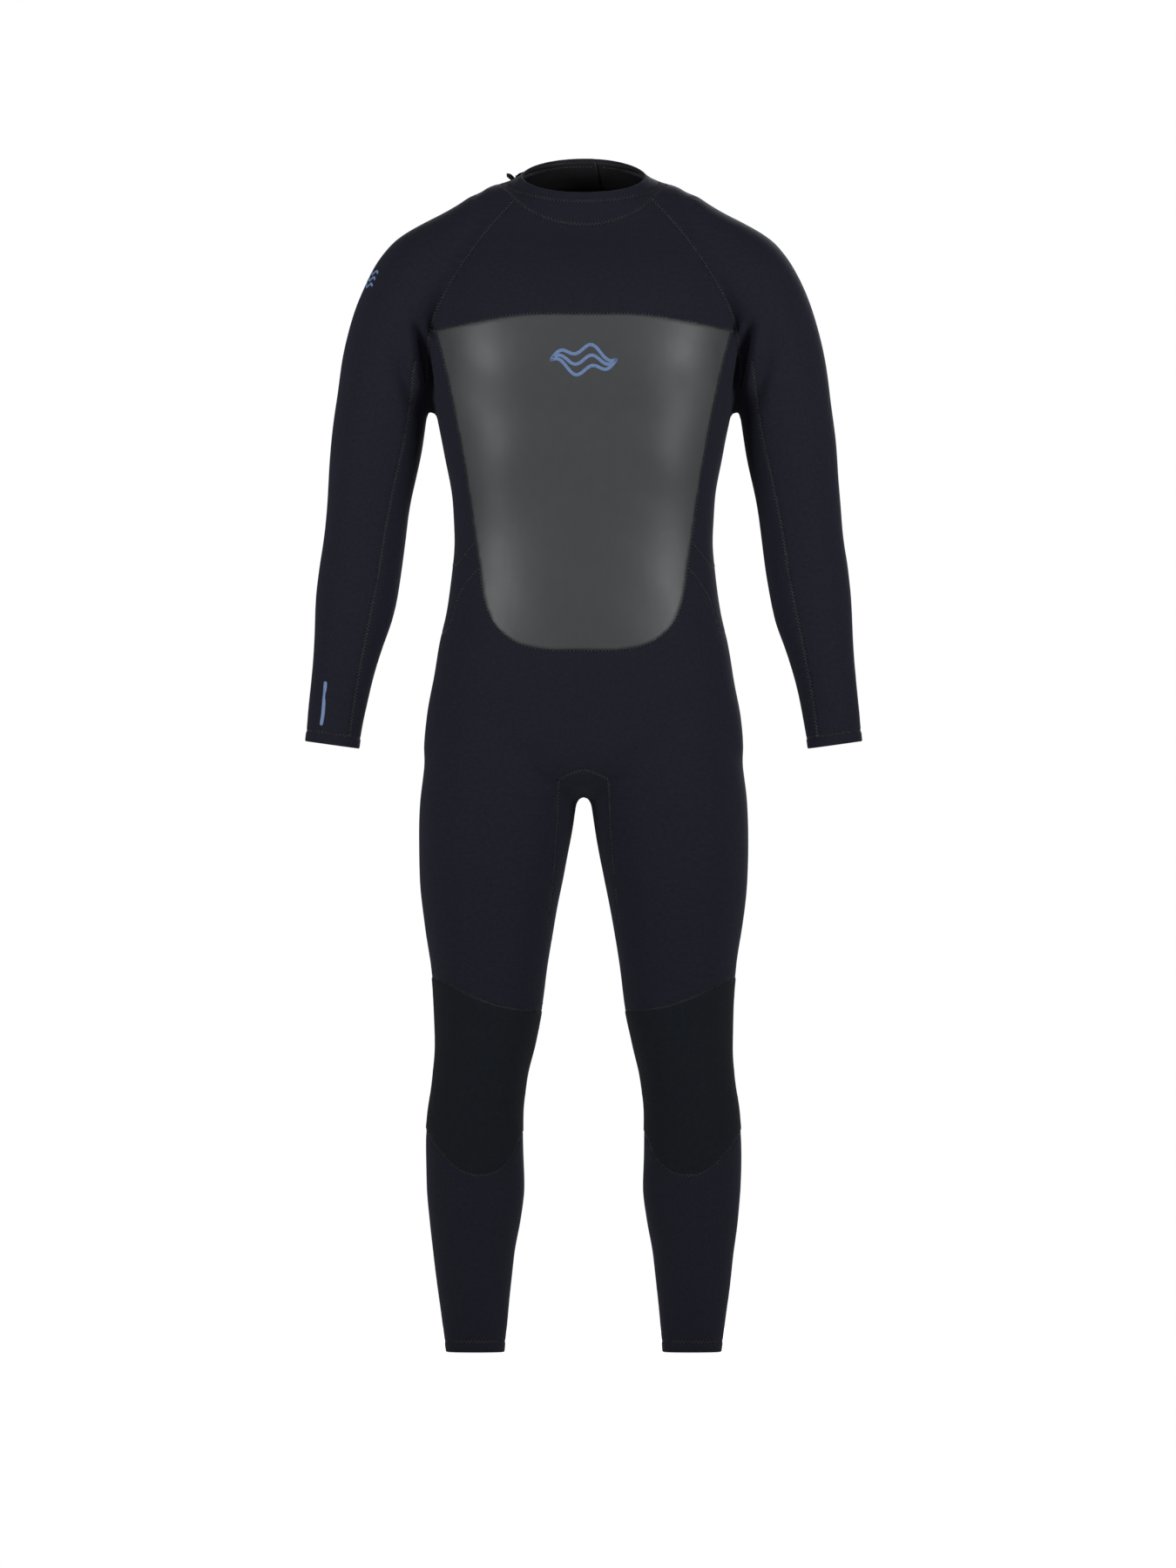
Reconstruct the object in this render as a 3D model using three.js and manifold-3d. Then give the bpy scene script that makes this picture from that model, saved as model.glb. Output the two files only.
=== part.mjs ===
// Full-length back-zip wetsuit, built as its panels, knee pads, hems, collar, closure tab and back zip.
// Millimetres, +Z up, front facing -Y, the wearer's left at +X. The ankle hems end at z = 0.
import * as THREE from 'three';
import { mergeVertices } from 'three/addons/utils/BufferGeometryUtils.js';
import Module from 'manifold-3d';

const wasm = await Module();
wasm.setup();

// ---- Driving dimensions ----
const NEOPRENE = 3;            // wall thickness of the body panels
const SEAM_GAP = 0.36;         // clearance between two panels that are sewn edge to edge
const LAYER_GAP = 0.3;         // clearance between two layers that lie on each other
const PAD_EXTRA = 1.2;         // how far a knee pad stands proud of the panels around it
const HEM_EXTRA = 0.6;         // how far a turned hem stands proud
const HEM_HEIGHT = 13;
const SEAL_THICKNESS = 1.6;    // smooth neck seal inside the collar
const SEAL_HEIGHT = 32;
const REACH = 320;             // half length of a cutter that runs through the suit from front to back
const END_RUN = 8;             // how far the hollow is run out past an open end
const TORSO_SIDES = 24;
const LEG_SIDES = 14;
const SLEEVE_SIDES = 12;

// Where the suit bends: a limb turns about a pivot, over a stretch of fabric on both sides of it
const ELBOW = { x: 262, z: 992, half: 56 };
const KNEE = { x: 122, z: 343, half: 78 };
const SHOULDER = { slope: [0.6, -0.8], crease: [186, 1143], length: 92 };
const HIP = { slope: [0.55, -0.835], crotch: [0, 668], length: 150 };

// Back zip: it lies on the straight line of the spine, from its bottom stop up to the collar
const ZIP = { low: 935, high: 1350, slotHalf: 9, tapeHalf: 17, coilHalf: 2.8, baffleHalf: 30 };
const SPINE = { zLow: 895, yLow: 82, zHigh: 1352, yHigh: 110 };
const spineSlope = (SPINE.yHigh - SPINE.yLow) / (SPINE.zHigh - SPINE.zLow);
const spineAt = (z) => SPINE.yLow + (z - SPINE.zLow) * spineSlope;
const SPINE_FLAT = 0.993;      // the facet across the centre back lies this much nearer than the station's depth

// ---- Measurement stations ----
// Torso: height, half width, front depth, back depth, rise of the back over the front, squareness
const TORSO = [
  [671, 70, 44, 52, 0, 2.0],
  [684, 150, 76, 92, 0, 2.1],
  [704, 190, 92, 113, 0, 2.2],
  [727, 192.5, 97, 122, 0, 2.3],
  [762, 190, 100, 127, 0, 2.3],
  [811, 181, 103, 120, 0, 2.3],
  [853, 174, 102, 104, 0, 2.3],
  [895, 165, 101, spineAt(895), 0, 2.3],
  [937, 159, 100, spineAt(937), 0, 2.3],
  [979, 155.5, 102, spineAt(979), 0, 2.3],
  [1021, 157.5, 106, spineAt(1021), 0, 2.3],
  [1084, 168.5, 114, spineAt(1084), 0, 2.35],
  [1147, 180, 122, spineAt(1147), 0, 2.4],
  [1210, 185, 126, spineAt(1210), 0, 2.4],
  [1262, 184, 120, spineAt(1262), 0, 2.4],
  [1305, 180, 106, spineAt(1309), 8, 2.3],
  [1338, 170, 86, spineAt(1348), 20, 2.2],
  [1362, 150, 72, 98, 34, 2.1],
  [1384, 122, 64, 83, 42, 2.0],
  [1401, 97, 61, 71, 45, 2.0],
  [1418, 74, 60, 63, 45, 2.0],
];
// Leg: height, outer edge, inner edge, front depth, back depth
const LEG = [
  [790, 176, 30, 80, 95],
  [735, 188, 12, 90, 112],
  [690, 194, 3, 93, 113],
  [664, 197, 8, 93, 109],
  [622, 199, 15, 92, 102],
  [568, 197.5, 25, 89, 94],
  [512, 191, 36, 82, 85],
  [460, 183.5, 44, 74, 75],
  [412, 180, 50, 67, 67],
  [370, 179, 59, 62, 63],
  [328, 182, 69, 59, 65],
  [286, 188, 73, 56, 72],
  [244, 190.5, 72.5, 53, 77],
  [202, 189.5, 71, 50, 77],
  [160, 186, 76, 46, 70],
  [118, 181, 83.5, 40, 61],
  [76, 176, 88, 33, 55],
  [34, 170, 92, 27, 54],
  [0, 165.5, 95.5, 26, 56],
];
// Sleeve: outer edge x and z, inner edge x and z, middle y, half depth
const SLEEVE = [
  [132, 1385, 128, 1246, 10, 60],
  [167, 1373, 142, 1232, 10, 66],
  [201, 1357, 158, 1222, 9, 67],
  [228, 1339, 166, 1214, 9, 66],
  [254, 1305, 170, 1197, 8, 64],
  [275, 1258, 175, 1180, 7, 63],
  [289, 1205, 180, 1160, 7, 61],
  [298, 1148, 188, 1131, 6, 58],
  [305, 1093, 196, 1080, 6, 55],
  [308.5, 1035, 208, 1024, 6, 51],
  [312, 990, 214, 980, 4, 49],
  [319, 942, 221, 931, -1, 48],
  [323.5, 895, 230, 884, -7, 45.5],
  [325, 850, 245, 840, -13, 40.5],
  [328.5, 808, 257, 798, -18, 35.5],
  [332, 769, 265, 759, -22, 32],
  [335, 736, 270, 727, -26, 30.5],
];

// ---- Seam lines in front view (x, z), for the wearer's left; the right side mirrors them ----
// A front line and the back line that carries it on share their last, straight stretch over the suit's side.
const COLLAR_SIDE = [[92, 1400], [118, 1400]];
const RAGLAN_SIDE = [[189.5, 1190], [186, 1128]];
const WAIST_UPPER_SIDE = [[151, 950], [170, 945]];
const WAIST_LOWER_SIDE = [[163, 871], [182, 859]];
const COLLAR_SEAM_FRONT = [[0, 1357], [40, 1363], [72, 1380], COLLAR_SIDE[0]];
const COLLAR_SEAM_BACK = [[0, 1403], [50, 1403], COLLAR_SIDE[0]];
const RAGLAN_FRONT = [[78, 1394], [124, 1341], [158, 1290], [181, 1243], RAGLAN_SIDE[0]];
const RAGLAN_BACK = [[63, 1406], [112, 1352], [150, 1290], [179, 1232], RAGLAN_SIDE[0]];
const CHEST_TOP = [[0, 1248], [75, 1247], [130, 1239], [184, 1229]];
const CHEST_SIDE = [[0, 846], [50, 847], [83, 856], [104, 873], [118, 902], [125, 944], [139, 1042],
  [155, 1130], [167, 1187], [180, 1235]];
const WAIST_UPPER_FRONT = [[129, 977], WAIST_UPPER_SIDE[0]];
const WAIST_LOWER_FRONT = [[121, 950], [148, 915], WAIST_LOWER_SIDE[0]];
const BACK_SIDE = [[166, 1280], [143, 1180], [126, 1080], [117, 980], [115, 915], [118, 850]];
const WAIST_UPPER_BACK = [[112, 939], [135, 944], WAIST_UPPER_SIDE[0]];
const WAIST_LOWER_BACK = [[112, 854], [145, 860], WAIST_LOWER_SIDE[0]];
const SEAT_TOP = [[0, 843], [60, 846], [122, 856]];
const HIP_SIDE = [[150, 868], [156, 815], [160, 765]];
const UNDERARM = [[247, 935], [256, 890], [266, 840], [275, 790], [281.5, 741]];
const PAD_TOP = [[30, 413], [76, 413], [103, 418], [131, 428], [158, 441], [205, 464]];
const PAD_BOTTOM = [[50, 290], [72, 266], [88, 234], [106, 218], [128, 214], [150, 221], [170, 240], [205, 290]];
const GUSSET = [[0, 702], [16, 697], [36, 686]];
const INSEAM = [[30, 693], [32, 640], [37, 570], [42, 516]];
const TAB = [[38, 1407], [38, 1436], [0, 1437], [-35, 1433], [-58, 1426], [-80, 1417], [-80, 1405], [-40, 1406]];
const LOOP_PATCH = [[-22, 1410], [-22, 1432], [-50, 1427], [-70, 1419], [-70, 1409]];
const HOOK_PATCH = [[-30, 1411], [-30, 1430], [-50, 1425.5], [-68, 1418], [-68, 1410]];

// ---- Materials ----
const finish = (color, roughness, metalness = 0) => new THREE.MeshStandardMaterial({ color, roughness, metalness });
const JERSEY = finish(0x1c1e2a, 0.85);
const KNEE_JERSEY = finish(0x161b20, 0.8);
const SMOOTHSKIN = finish(0x4a4c52, 0.45);
const LINING = finish(0x24262e, 0.9);
const PRINT = finish(0x6f8fb8, 0.6);
const TAPE = finish(0x15161a, 0.9);
const COIL = finish(0x101014, 0.5);
const METAL = finish(0x55585c, 0.35, 1);
const WEBBING = finish(0x2a2c33, 0.85);

// ---- Solids from three.js geometry ----
const solidOf = (geometry) => {
  const bare = geometry.clone();
  bare.deleteAttribute('normal');
  bare.deleteAttribute('uv');
  const merged = mergeVertices(bare, 1e-4);
  const mesh = new wasm.Mesh({
    numProp: 3,
    vertProperties: new Float32Array(merged.attributes.position.array),
    triVerts: new Uint32Array(merged.index.array),
  });
  return new wasm.Manifold(mesh);
};

const geometryOf = (solid) => {
  const mesh = solid.getMesh();
  const geometry = new THREE.BufferGeometry();
  geometry.setAttribute('position', new THREE.BufferAttribute(mesh.vertProperties, 3));
  geometry.setIndex(new THREE.BufferAttribute(mesh.triVerts, 1));
  geometry.computeVertexNormals();
  return geometry;
};

const mirrored = (solid) => {
  const geometry = geometryOf(solid);
  geometry.scale(-1, 1, 1);
  const index = geometry.index.array;
  for (let i = 0; i < index.length; i += 3) {
    [index[i + 1], index[i + 2]] = [index[i + 2], index[i + 1]];
  }
  return solidOf(geometry);
};

// A ring of points round one station: centre, direction across, half width, depths, rise and squareness
const ringOf = (station, grow, sides) => {
  const { centre, across, half, front, back, rise, square } = station;
  const power = 2 / square;
  const points = [];
  for (let i = 0; i < sides; i++) {
    const angle = (2 * Math.PI * (i + 0.5)) / sides;
    const c = Math.sign(Math.cos(angle)) * Math.abs(Math.cos(angle)) ** power;
    const s = Math.sign(Math.sin(angle)) * Math.abs(Math.sin(angle)) ** power;
    const depth = (s > 0 ? back : front) + grow;
    const point = centre.clone().addScaledVector(across, (half + grow) * c);
    point.y += depth * s;
    point.z += (rise / 2) * s;
    points.push(point);
  }
  return points;
};

const loft = (rings) => {
  const sides = rings[0].length;
  const positions = rings.flat().flatMap((p) => [p.x, p.y, p.z]);
  const index = [];
  for (let r = 0; r < rings.length - 1; r++) {
    for (let i = 0; i < sides; i++) {
      const a = r * sides + i;
      const b = r * sides + ((i + 1) % sides);
      index.push(a, a + sides, b, b, a + sides, b + sides);
    }
  }
  const cap = (start, flip) => {
    const middle = new THREE.Vector3();
    for (let i = 0; i < sides; i++) middle.add(rings[start][i]);
    middle.divideScalar(sides);
    positions.push(middle.x, middle.y, middle.z);
    const centre = positions.length / 3 - 1;
    for (let i = 0; i < sides; i++) {
      const a = start * sides + i;
      const b = start * sides + ((i + 1) % sides);
      index.push(...(flip ? [centre, b, a] : [centre, a, b]));
    }
  };
  cap(0, false);
  cap(rings.length - 1, true);
  const geometry = new THREE.BufferGeometry();
  geometry.setAttribute('position', new THREE.BufferAttribute(new Float32Array(positions), 3));
  geometry.setIndex(index);
  return geometry;
};

const torsoStation = ([z, half, front, back, rise, square]) => ({
  centre: new THREE.Vector3(0, 0, z),
  across: new THREE.Vector3(1, 0, 0),
  half, front, back, rise, square,
});
const legStation = ([z, outer, inner, front, back]) => ({
  centre: new THREE.Vector3((outer + inner) / 2, 0, z),
  across: new THREE.Vector3(1, 0, 0),
  half: (outer - inner) / 2,
  front, back, rise: 0, square: 2.1,
});
const sleeveStation = ([ox, oz, ix, iz, y, depth]) => {
  const outer = new THREE.Vector3(ox, y, oz);
  const inner = new THREE.Vector3(ix, y, iz);
  return {
    centre: outer.clone().lerp(inner, 0.5),
    across: outer.clone().sub(inner).normalize(),
    half: outer.distanceTo(inner) / 2,
    front: depth, back: depth, rise: 0, square: 2.1,
  };
};

// The same station moved on past an open end, so that a hollow runs out through it
const runOut = (last, before, distance) => {
  const along = last.centre.clone().sub(before.centre).normalize();
  return { ...last, centre: last.centre.clone().addScaledVector(along, distance) };
};

const body = (table, toStation, sides, grow, openEnd = false) => {
  const stations = table.map(toStation);
  if (openEnd) stations.push(runOut(stations.at(-1), stations.at(-2), END_RUN));
  return loft(stations.map((station) => ringOf(station, grow, sides)));
};
const upright = (geometry) => {
  // rings that run downwards are turned inside out, so their faces are flipped back
  const index = geometry.index.array;
  for (let i = 0; i < index.length; i += 3) [index[i + 1], index[i + 2]] = [index[i + 2], index[i + 1]];
  return geometry;
};
const torsoSolid = (grow, openEnd) => solidOf(upright(body(TORSO, torsoStation, TORSO_SIDES, grow, openEnd)));
const legSolid = (grow, openEnd) => solidOf(body(LEG, legStation, LEG_SIDES, grow, openEnd));
const sleeveSolid = (grow, openEnd) => solidOf(body(SLEEVE, sleeveStation, SLEEVE_SIDES, grow, openEnd));
const suitSolid = (grow, openEnd = false) => {
  const leg = legSolid(grow, openEnd);
  const sleeve = sleeveSolid(grow, openEnd);
  return torsoSolid(grow, openEnd).add(leg).add(mirrored(leg)).add(sleeve).add(mirrored(sleeve));
};

// ---- Cutters ----
const smoothLine = (points, steps) => {
  const curve = new THREE.SplineCurve(points.map(([x, z]) => new THREE.Vector2(x, z)));
  return curve.getPoints((points.length - 1) * steps);
};
const stripShape = (line, thickness) => {
  const side = (sign) => line.map((p, i) => {
    const ahead = line[Math.min(i + 1, line.length - 1)];
    const behind = line[Math.max(i - 1, 0)];
    const normal = ahead.clone().sub(behind).normalize();
    return new THREE.Vector2(p.x - sign * normal.y * thickness / 2, p.y + sign * normal.x * thickness / 2);
  });
  return new THREE.Shape([...side(1), ...side(-1).reverse()]);
};
const outline = (points) => new THREE.Shape(points.map(([x, z]) => new THREE.Vector2(x, z)));
// A front-view shape (x, z) run along Y from y0 to y1
const prism = (shape, [y0, y1]) => {
  const geometry = new THREE.ExtrudeGeometry(shape, { depth: y1 - y0, bevelEnabled: false, curveSegments: 8 });
  geometry.rotateX(Math.PI / 2);
  geometry.translate(0, y1, 0);
  return solidOf(geometry);
};
const FRONT = [-REACH, 0.2];
const BACK = [-0.2, REACH];
const THROUGH = [-REACH, REACH];
const seam = (points, span, steps = 1, side = []) => {
  const tail = side.slice(1).map(([x, z]) => new THREE.Vector2(x, z));
  return prism(stripShape([...smoothLine(points, steps), ...tail], SEAM_GAP), span);
};
const pair = (solid) => [solid, mirrored(solid)];
const pairSeam = (...line) => pair(seam(...line));
// A line given from the centre outwards, carried across to the other side
const acrossSeam = (half, span, steps = 1, side = []) => {
  const mirror = half.slice(1).reverse().map(([x, z]) => [-x, z]);
  const middle = seam([...mirror, ...half], span, steps);
  return side.length ? pair(seam(side, span, 1)).reduce((all, end) => all.add(end), middle) : middle;
};
const along = ([x, z], [dx, dz], distance) => [x + dx * distance, z + dz * distance];
// A flat cut through a point of the front view, square to a direction
const flatCut = (point, [dx, dz], before, after, span = THROUGH) =>
  seam([along(point, [-dz, dx], -before), along(point, [-dz, dx], after)], span);

const SLEEVE_DOWN = [0.146, -0.9893];
const CUFF_DOWN = [0.137, -0.9906];
const CUFF_EDGE = [302.5, 731.5];
const hipTop = [[-2, HIP.crotch[1] - 1], [215, HIP.crotch[1] + 215 * (HIP.slope[0] / -HIP.slope[1])]];
const hipEnd = along(HIP.crotch, HIP.slope, HIP.length);
const shoulderEnd = along(SHOULDER.crease, SHOULDER.slope, SHOULDER.length);
const elbow = [ELBOW.x, ELBOW.z];

// The seam down the sides of a leg, from the ankle hem up to the thigh's end, parts its front from its back
const hipEndAt = (x) => hipEnd[1] + (x - hipEnd[0]) * (HIP.slope[0] / -HIP.slope[1]);
const legSideSeam = () => prism(outline([
  [20, HEM_HEIGHT], [225, HEM_HEIGHT], [225, hipEndAt(225)], [20, hipEndAt(20)],
]), [-SEAM_GAP / 2, SEAM_GAP / 2]);

const zipSlot = () => prism(outline([
  [-ZIP.slotHalf, ZIP.low - 4], [ZIP.slotHalf, ZIP.low - 4],
  [ZIP.slotHalf, ZIP.high + 4], [-ZIP.slotHalf, ZIP.high + 4],
]), [40, REACH]);

const cutters = [
  acrossSeam(COLLAR_SEAM_FRONT, FRONT, 1, COLLAR_SIDE),
  acrossSeam(COLLAR_SEAM_BACK, BACK, 1, COLLAR_SIDE),
  acrossSeam(CHEST_TOP, FRONT),
  acrossSeam(CHEST_SIDE, FRONT),
  acrossSeam(SEAT_TOP, BACK),
  acrossSeam(GUSSET, THROUGH),
  ...pairSeam(RAGLAN_FRONT, FRONT, 1, RAGLAN_SIDE),
  ...pairSeam(RAGLAN_BACK, BACK, 1, RAGLAN_SIDE),
  ...pairSeam(BACK_SIDE, BACK),
  ...pairSeam(HIP_SIDE, BACK),
  ...pairSeam(WAIST_UPPER_FRONT, FRONT, 1, WAIST_UPPER_SIDE),
  ...pairSeam(WAIST_LOWER_FRONT, FRONT, 1, WAIST_LOWER_SIDE),
  ...pairSeam(WAIST_UPPER_BACK, BACK, 1, WAIST_UPPER_SIDE),
  ...pairSeam(WAIST_LOWER_BACK, BACK, 1, WAIST_LOWER_SIDE),
  ...pairSeam(hipTop, THROUGH),
  ...pairSeam(INSEAM, THROUGH),
  ...pair(flatCut(hipEnd, HIP.slope, 68, 150)),
  ...pair(flatCut([KNEE.x, KNEE.z + KNEE.half], [0, -1], 100, 100, BACK)),
  ...pair(flatCut([KNEE.x, KNEE.z - KNEE.half], [0, -1], 100, 100, BACK)),
  ...pairSeam(PAD_TOP, FRONT),
  ...pairSeam(PAD_BOTTOM, FRONT),
  ...pair(flatCut([130, HEM_HEIGHT], [0, -1], 60, 60)),
  ...pair(legSideSeam()),
  ...pair(flatCut(shoulderEnd, SHOULDER.slope, 70, 75)),
  ...pair(flatCut(along(elbow, SLEEVE_DOWN, -ELBOW.half), SLEEVE_DOWN, 66, 60)),
  ...pair(flatCut(along(elbow, SLEEVE_DOWN, ELBOW.half), SLEEVE_DOWN, 60, 60)),
  ...pair(flatCut(along(CUFF_EDGE, CUFF_DOWN, -HEM_HEIGHT), CUFF_DOWN, 50, 50)),
  ...pairSeam(UNDERARM, THROUGH),
  zipSlot(),
  seam([[0, ZIP.high + 2], [0, 1408]], BACK),
  seam([[0, ZIP.low - 2], [0, 838]], BACK),
  seam([[14, 1398], [14, 1460]], BACK),
];
const cut = (solid) => cutters.reduce((rest, cutter) => rest.subtract(cutter), solid);
const hollow = suitSolid(-NEOPRENE, true);
const shell = (grow) => cut(suitSolid(grow).subtract(hollow)).decompose();
const panels = shell(0);
const hems = shell(HEM_EXTRA);
const pads = shell(PAD_EXTRA);

// The piece that a thin needle meets when it is pushed in at (x, z), from the front or from the back
const pieceAt = (pieces, [x, z, side]) => {
  const needle = new THREE.BoxGeometry(0.8, REACH, 0.8);
  needle.translate(x, (side * REACH) / 2, z);
  const probe = solidOf(needle);
  const met = pieces.filter((piece) => piece.intersect(probe).volume() > 0.1);
  if (met.length !== 1) throw new Error(`a needle at ${x}, ${z} meets ${met.length} pieces`);
  return met[0];
};

const group = new THREE.Group();
group.name = 'wetsuit';
const addMesh = (name, geometry, material) => {
  const mesh = new THREE.Mesh(geometry, material);
  mesh.name = name;
  group.add(mesh);
};
const addSolid = (name, solid, material) => addMesh(name, geometryOf(solid), material);
const addPanel = (name, probe, material, pieces = panels) => addSolid(name, pieceAt(pieces, probe), material);
const addPanels = (name, [x, z, side], material, pieces) => {
  addPanel(`left_${name}`, [x, z, side], material, pieces);
  addPanel(`right_${name}`, [-x, z, side], material, pieces);
};

// ---- Torso panels ----
addPanel('collar', [0, 1378, -1], JERSEY);
addPanel('upper_chest_panel', [0, 1300, -1], JERSEY);
addPanel('chest_panel', [0, 1050, -1], SMOOTHSKIN);
addPanels('side_panel', [151, 1050, -1], JERSEY);
addPanels('waist_band', [144, 940, -1], JERSEY);
addPanel('abdomen_panel', [0, 780, -1], JERSEY);
addPanel('seat_panel', [60, 780, 1], JERSEY);
addPanels('back_panel', [60, 1150, 1], JERSEY);
addPanel('crotch_gusset', [6, 690, -1], JERSEY);

// ---- Sleeves and legs ----
addPanels('shoulder_section', [240, 1240, -1], JERSEY);
addPanels('upper_sleeve', [275, 1085, -1], JERSEY);
addPanels('elbow_section', [275, 990, -1], JERSEY);
addPanels('forearm_outer_panel', [300, 850, -1], JERSEY);
addPanels('forearm_inner_panel', [256, 840, -1], JERSEY);
addPanels('wrist_hem', [303, 737, -1], JERSEY, hems);
addPanels('hip_section', [120, 650, -1], JERSEY);
addPanels('inner_thigh_panel', [24, 620, -1], JERSEY);
addPanels('thigh_panel', [110, 480, -1], JERSEY);
addPanels('hamstring_panel', [110, 480, 1], JERSEY);
addPanels('knee_pad', [118, 340, -1], KNEE_JERSEY, pads);
addPanels('knee_back_panel', [118, 340, 1], JERSEY);
addPanels('shin_panel', [130, 120, -1], JERSEY);
addPanels('calf_panel', [130, 160, 1], JERSEY);
addPanels('ankle_hem', [130, 6, -1], JERSEY, hems);

// ---- Inside the collar: the smooth neck seal ----
const collarLayer = (outer, inner) => solidOf(upright(body(TORSO, torsoStation, TORSO_SIDES, outer, true)))
  .subtract(solidOf(upright(body(TORSO, torsoStation, TORSO_SIDES, inner, true))));
const sealTop = TORSO.at(-1)[0] - 4;
const sealZone = (() => {
  // a slab whose top and bottom lean with the collar's rim
  const lean = TORSO.at(-1)[4] / (TORSO.at(-1)[2] + TORSO.at(-1)[3]);
  const slab = new THREE.BoxGeometry(260, 260, SEAL_HEIGHT);
  slab.applyMatrix4(new THREE.Matrix4().set(1, 0, 0, 0, 0, 1, 0, 0, 0, lean, 1, 0, 0, 0, 0, 1));
  slab.translate(0, 0, sealTop - SEAL_HEIGHT / 2);
  return solidOf(slab);
})();
const sealSlit = prism(outline([[12, 1300], [16, 1300], [16, 1470], [12, 1470]]), BACK);
addSolid('neck_seal', collarLayer(-NEOPRENE - LAYER_GAP, -NEOPRENE - LAYER_GAP - SEAL_THICKNESS)
  .intersect(sealZone).subtract(sealSlit), SMOOTHSKIN);

// ---- Closure over the top of the zip ----
const onCollar = (name, points, under, thickness, material) =>
  addSolid(name, pieceAt(collarLayer(under + thickness, under).intersect(prism(outline(points), BACK)).decompose(),
    [-45, 1420, 1]), material);
onCollar('collar_loop_patch', LOOP_PATCH, 0.3, 0.8, WEBBING);
onCollar('tab_hook_patch', HOOK_PATCH, 1.4, 0.8, WEBBING);
onCollar('collar_tab', TAB, 2.5, 2.2, JERSEY);
const loopPlate = (halfX, halfZ) => outline([[-halfX, -halfZ], [halfX, -halfZ], [halfX, halfZ], [-halfX, halfZ]]);
const pullLoop = (() => {
  const shape = loopPlate(7, 3.2);
  shape.holes.push(loopPlate(5.6, 1.8));
  const geometry = new THREE.ExtrudeGeometry(shape, { depth: 10, bevelEnabled: false });
  geometry.rotateX(Math.PI / 2);
  geometry.rotateX(Math.PI / 2);
  geometry.rotateZ(Math.PI);
  return geometry;
})();
pullLoop.translate(-86, 27, 1420);
addSolid('tab_pull_loop', solidOf(pullLoop)
  .subtract(solidOf(upright(body(TORSO, torsoStation, TORSO_SIDES, 5, true)))), WEBBING);

// ---- Back zip, made in its own frame: x across, y out of the back, z up the spine ----
const zipLean = Math.atan(spineSlope);
const onSpine = (geometry, z) => {
  geometry.rotateX(-zipLean);
  geometry.translate(0, spineAt(z) * SPINE_FLAT, z);
  return geometry;
};
const block = ([x0, x1], [y0, y1], [z0, z1]) => {
  const geometry = new THREE.BoxGeometry(x1 - x0, y1 - y0, z1 - z0);
  geometry.translate((x0 + x1) / 2, (y0 + y1) / 2, (z0 + z1) / 2);
  return geometry;
};
const zipMiddle = (ZIP.low + ZIP.high) / 2;
const zipHalf = (ZIP.high - ZIP.low) / 2;
const addZipPart = (name, geometry, z, material) => addMesh(name, onSpine(geometry, z), material);
addZipPart('left_zip_tape', block([3.2, ZIP.tapeHalf], [-5.1, -4.1], [-zipHalf, zipHalf]), zipMiddle, TAPE);
addZipPart('right_zip_tape', block([-ZIP.tapeHalf, -3.2], [-5.1, -4.1], [-zipHalf, zipHalf]), zipMiddle, TAPE);
addZipPart('zip_coil', block([-ZIP.coilHalf, ZIP.coilHalf], [-6, -3.2], [9 - zipHalf, zipHalf]), zipMiddle, COIL);
addZipPart('zip_bottom_stop', block([-4, 4], [-3.8, -2.4], [0, 8]), ZIP.low, METAL);
addZipPart('zip_baffle', block([-ZIP.baffleHalf, ZIP.baffleHalf], [-9.2, -7.2], [-zipHalf - 8, zipHalf - 4]),
  zipMiddle, LINING);

// Slider: a plate over the coil with a flange each side, and a bridge that holds the pull
const SLIDER = { half: 5.6, flange: 3.4, length: 11, bridgeHalf: 2.2, bridgeLow: 3, bridgeTop: 4.4, holeHalf: 5,
  pivot: 1.4, z: 1334 };
const BRIDGE = [-SLIDER.bridgeHalf, SLIDER.bridgeHalf];
const slider = [
  block([-SLIDER.half, SLIDER.half], [-2.7, -1.2], [-SLIDER.length, SLIDER.length]),
  block([SLIDER.flange, SLIDER.half], [-3.7, -2.6], [-SLIDER.length, SLIDER.length]),
  block([-SLIDER.half, -SLIDER.flange], [-3.7, -2.6], [-SLIDER.length, SLIDER.length]),
  block(BRIDGE, [-1.3, SLIDER.bridgeTop], [-SLIDER.holeHalf - 2, -SLIDER.holeHalf]),
  block(BRIDGE, [-1.3, SLIDER.bridgeTop], [SLIDER.holeHalf, SLIDER.holeHalf + 2]),
  block(BRIDGE, [SLIDER.bridgeLow, SLIDER.bridgeTop], [-SLIDER.holeHalf - 1, SLIDER.holeHalf + 1]),
].map(solidOf).reduce((all, part) => all.add(part));
addZipPart('zip_slider', geometryOf(slider), SLIDER.z, METAL);

// Pull: a bar through the bridge, two arms beside it and a flat tab with a hole for a cord
const PULL = { bar: 1, armIn: 2.8, armOut: 4.6, thick: 0.9, neck: -12, tip: -46, eye: 2 };
const tab = new THREE.Shape();
tab.moveTo(-PULL.armOut, PULL.neck + 1);
tab.lineTo(-3.8, PULL.tip + 3.5);
tab.quadraticCurveTo(0, PULL.tip - 2, 3.8, PULL.tip + 3.5);
tab.lineTo(PULL.armOut, PULL.neck + 1);
const eye = new THREE.Path();
eye.absarc(0, PULL.tip + 5.5, PULL.eye, 0, Math.PI * 2, true);
tab.holes.push(eye);
const tabPlate = new THREE.ExtrudeGeometry(tab, { depth: 2 * PULL.thick, bevelEnabled: false, curveSegments: 5 });
tabPlate.rotateX(Math.PI / 2);
tabPlate.translate(0, PULL.thick, 0);
const bar = new THREE.CylinderGeometry(PULL.bar, PULL.bar, 2 * PULL.armOut, 10);
bar.rotateZ(Math.PI / 2);
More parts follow.
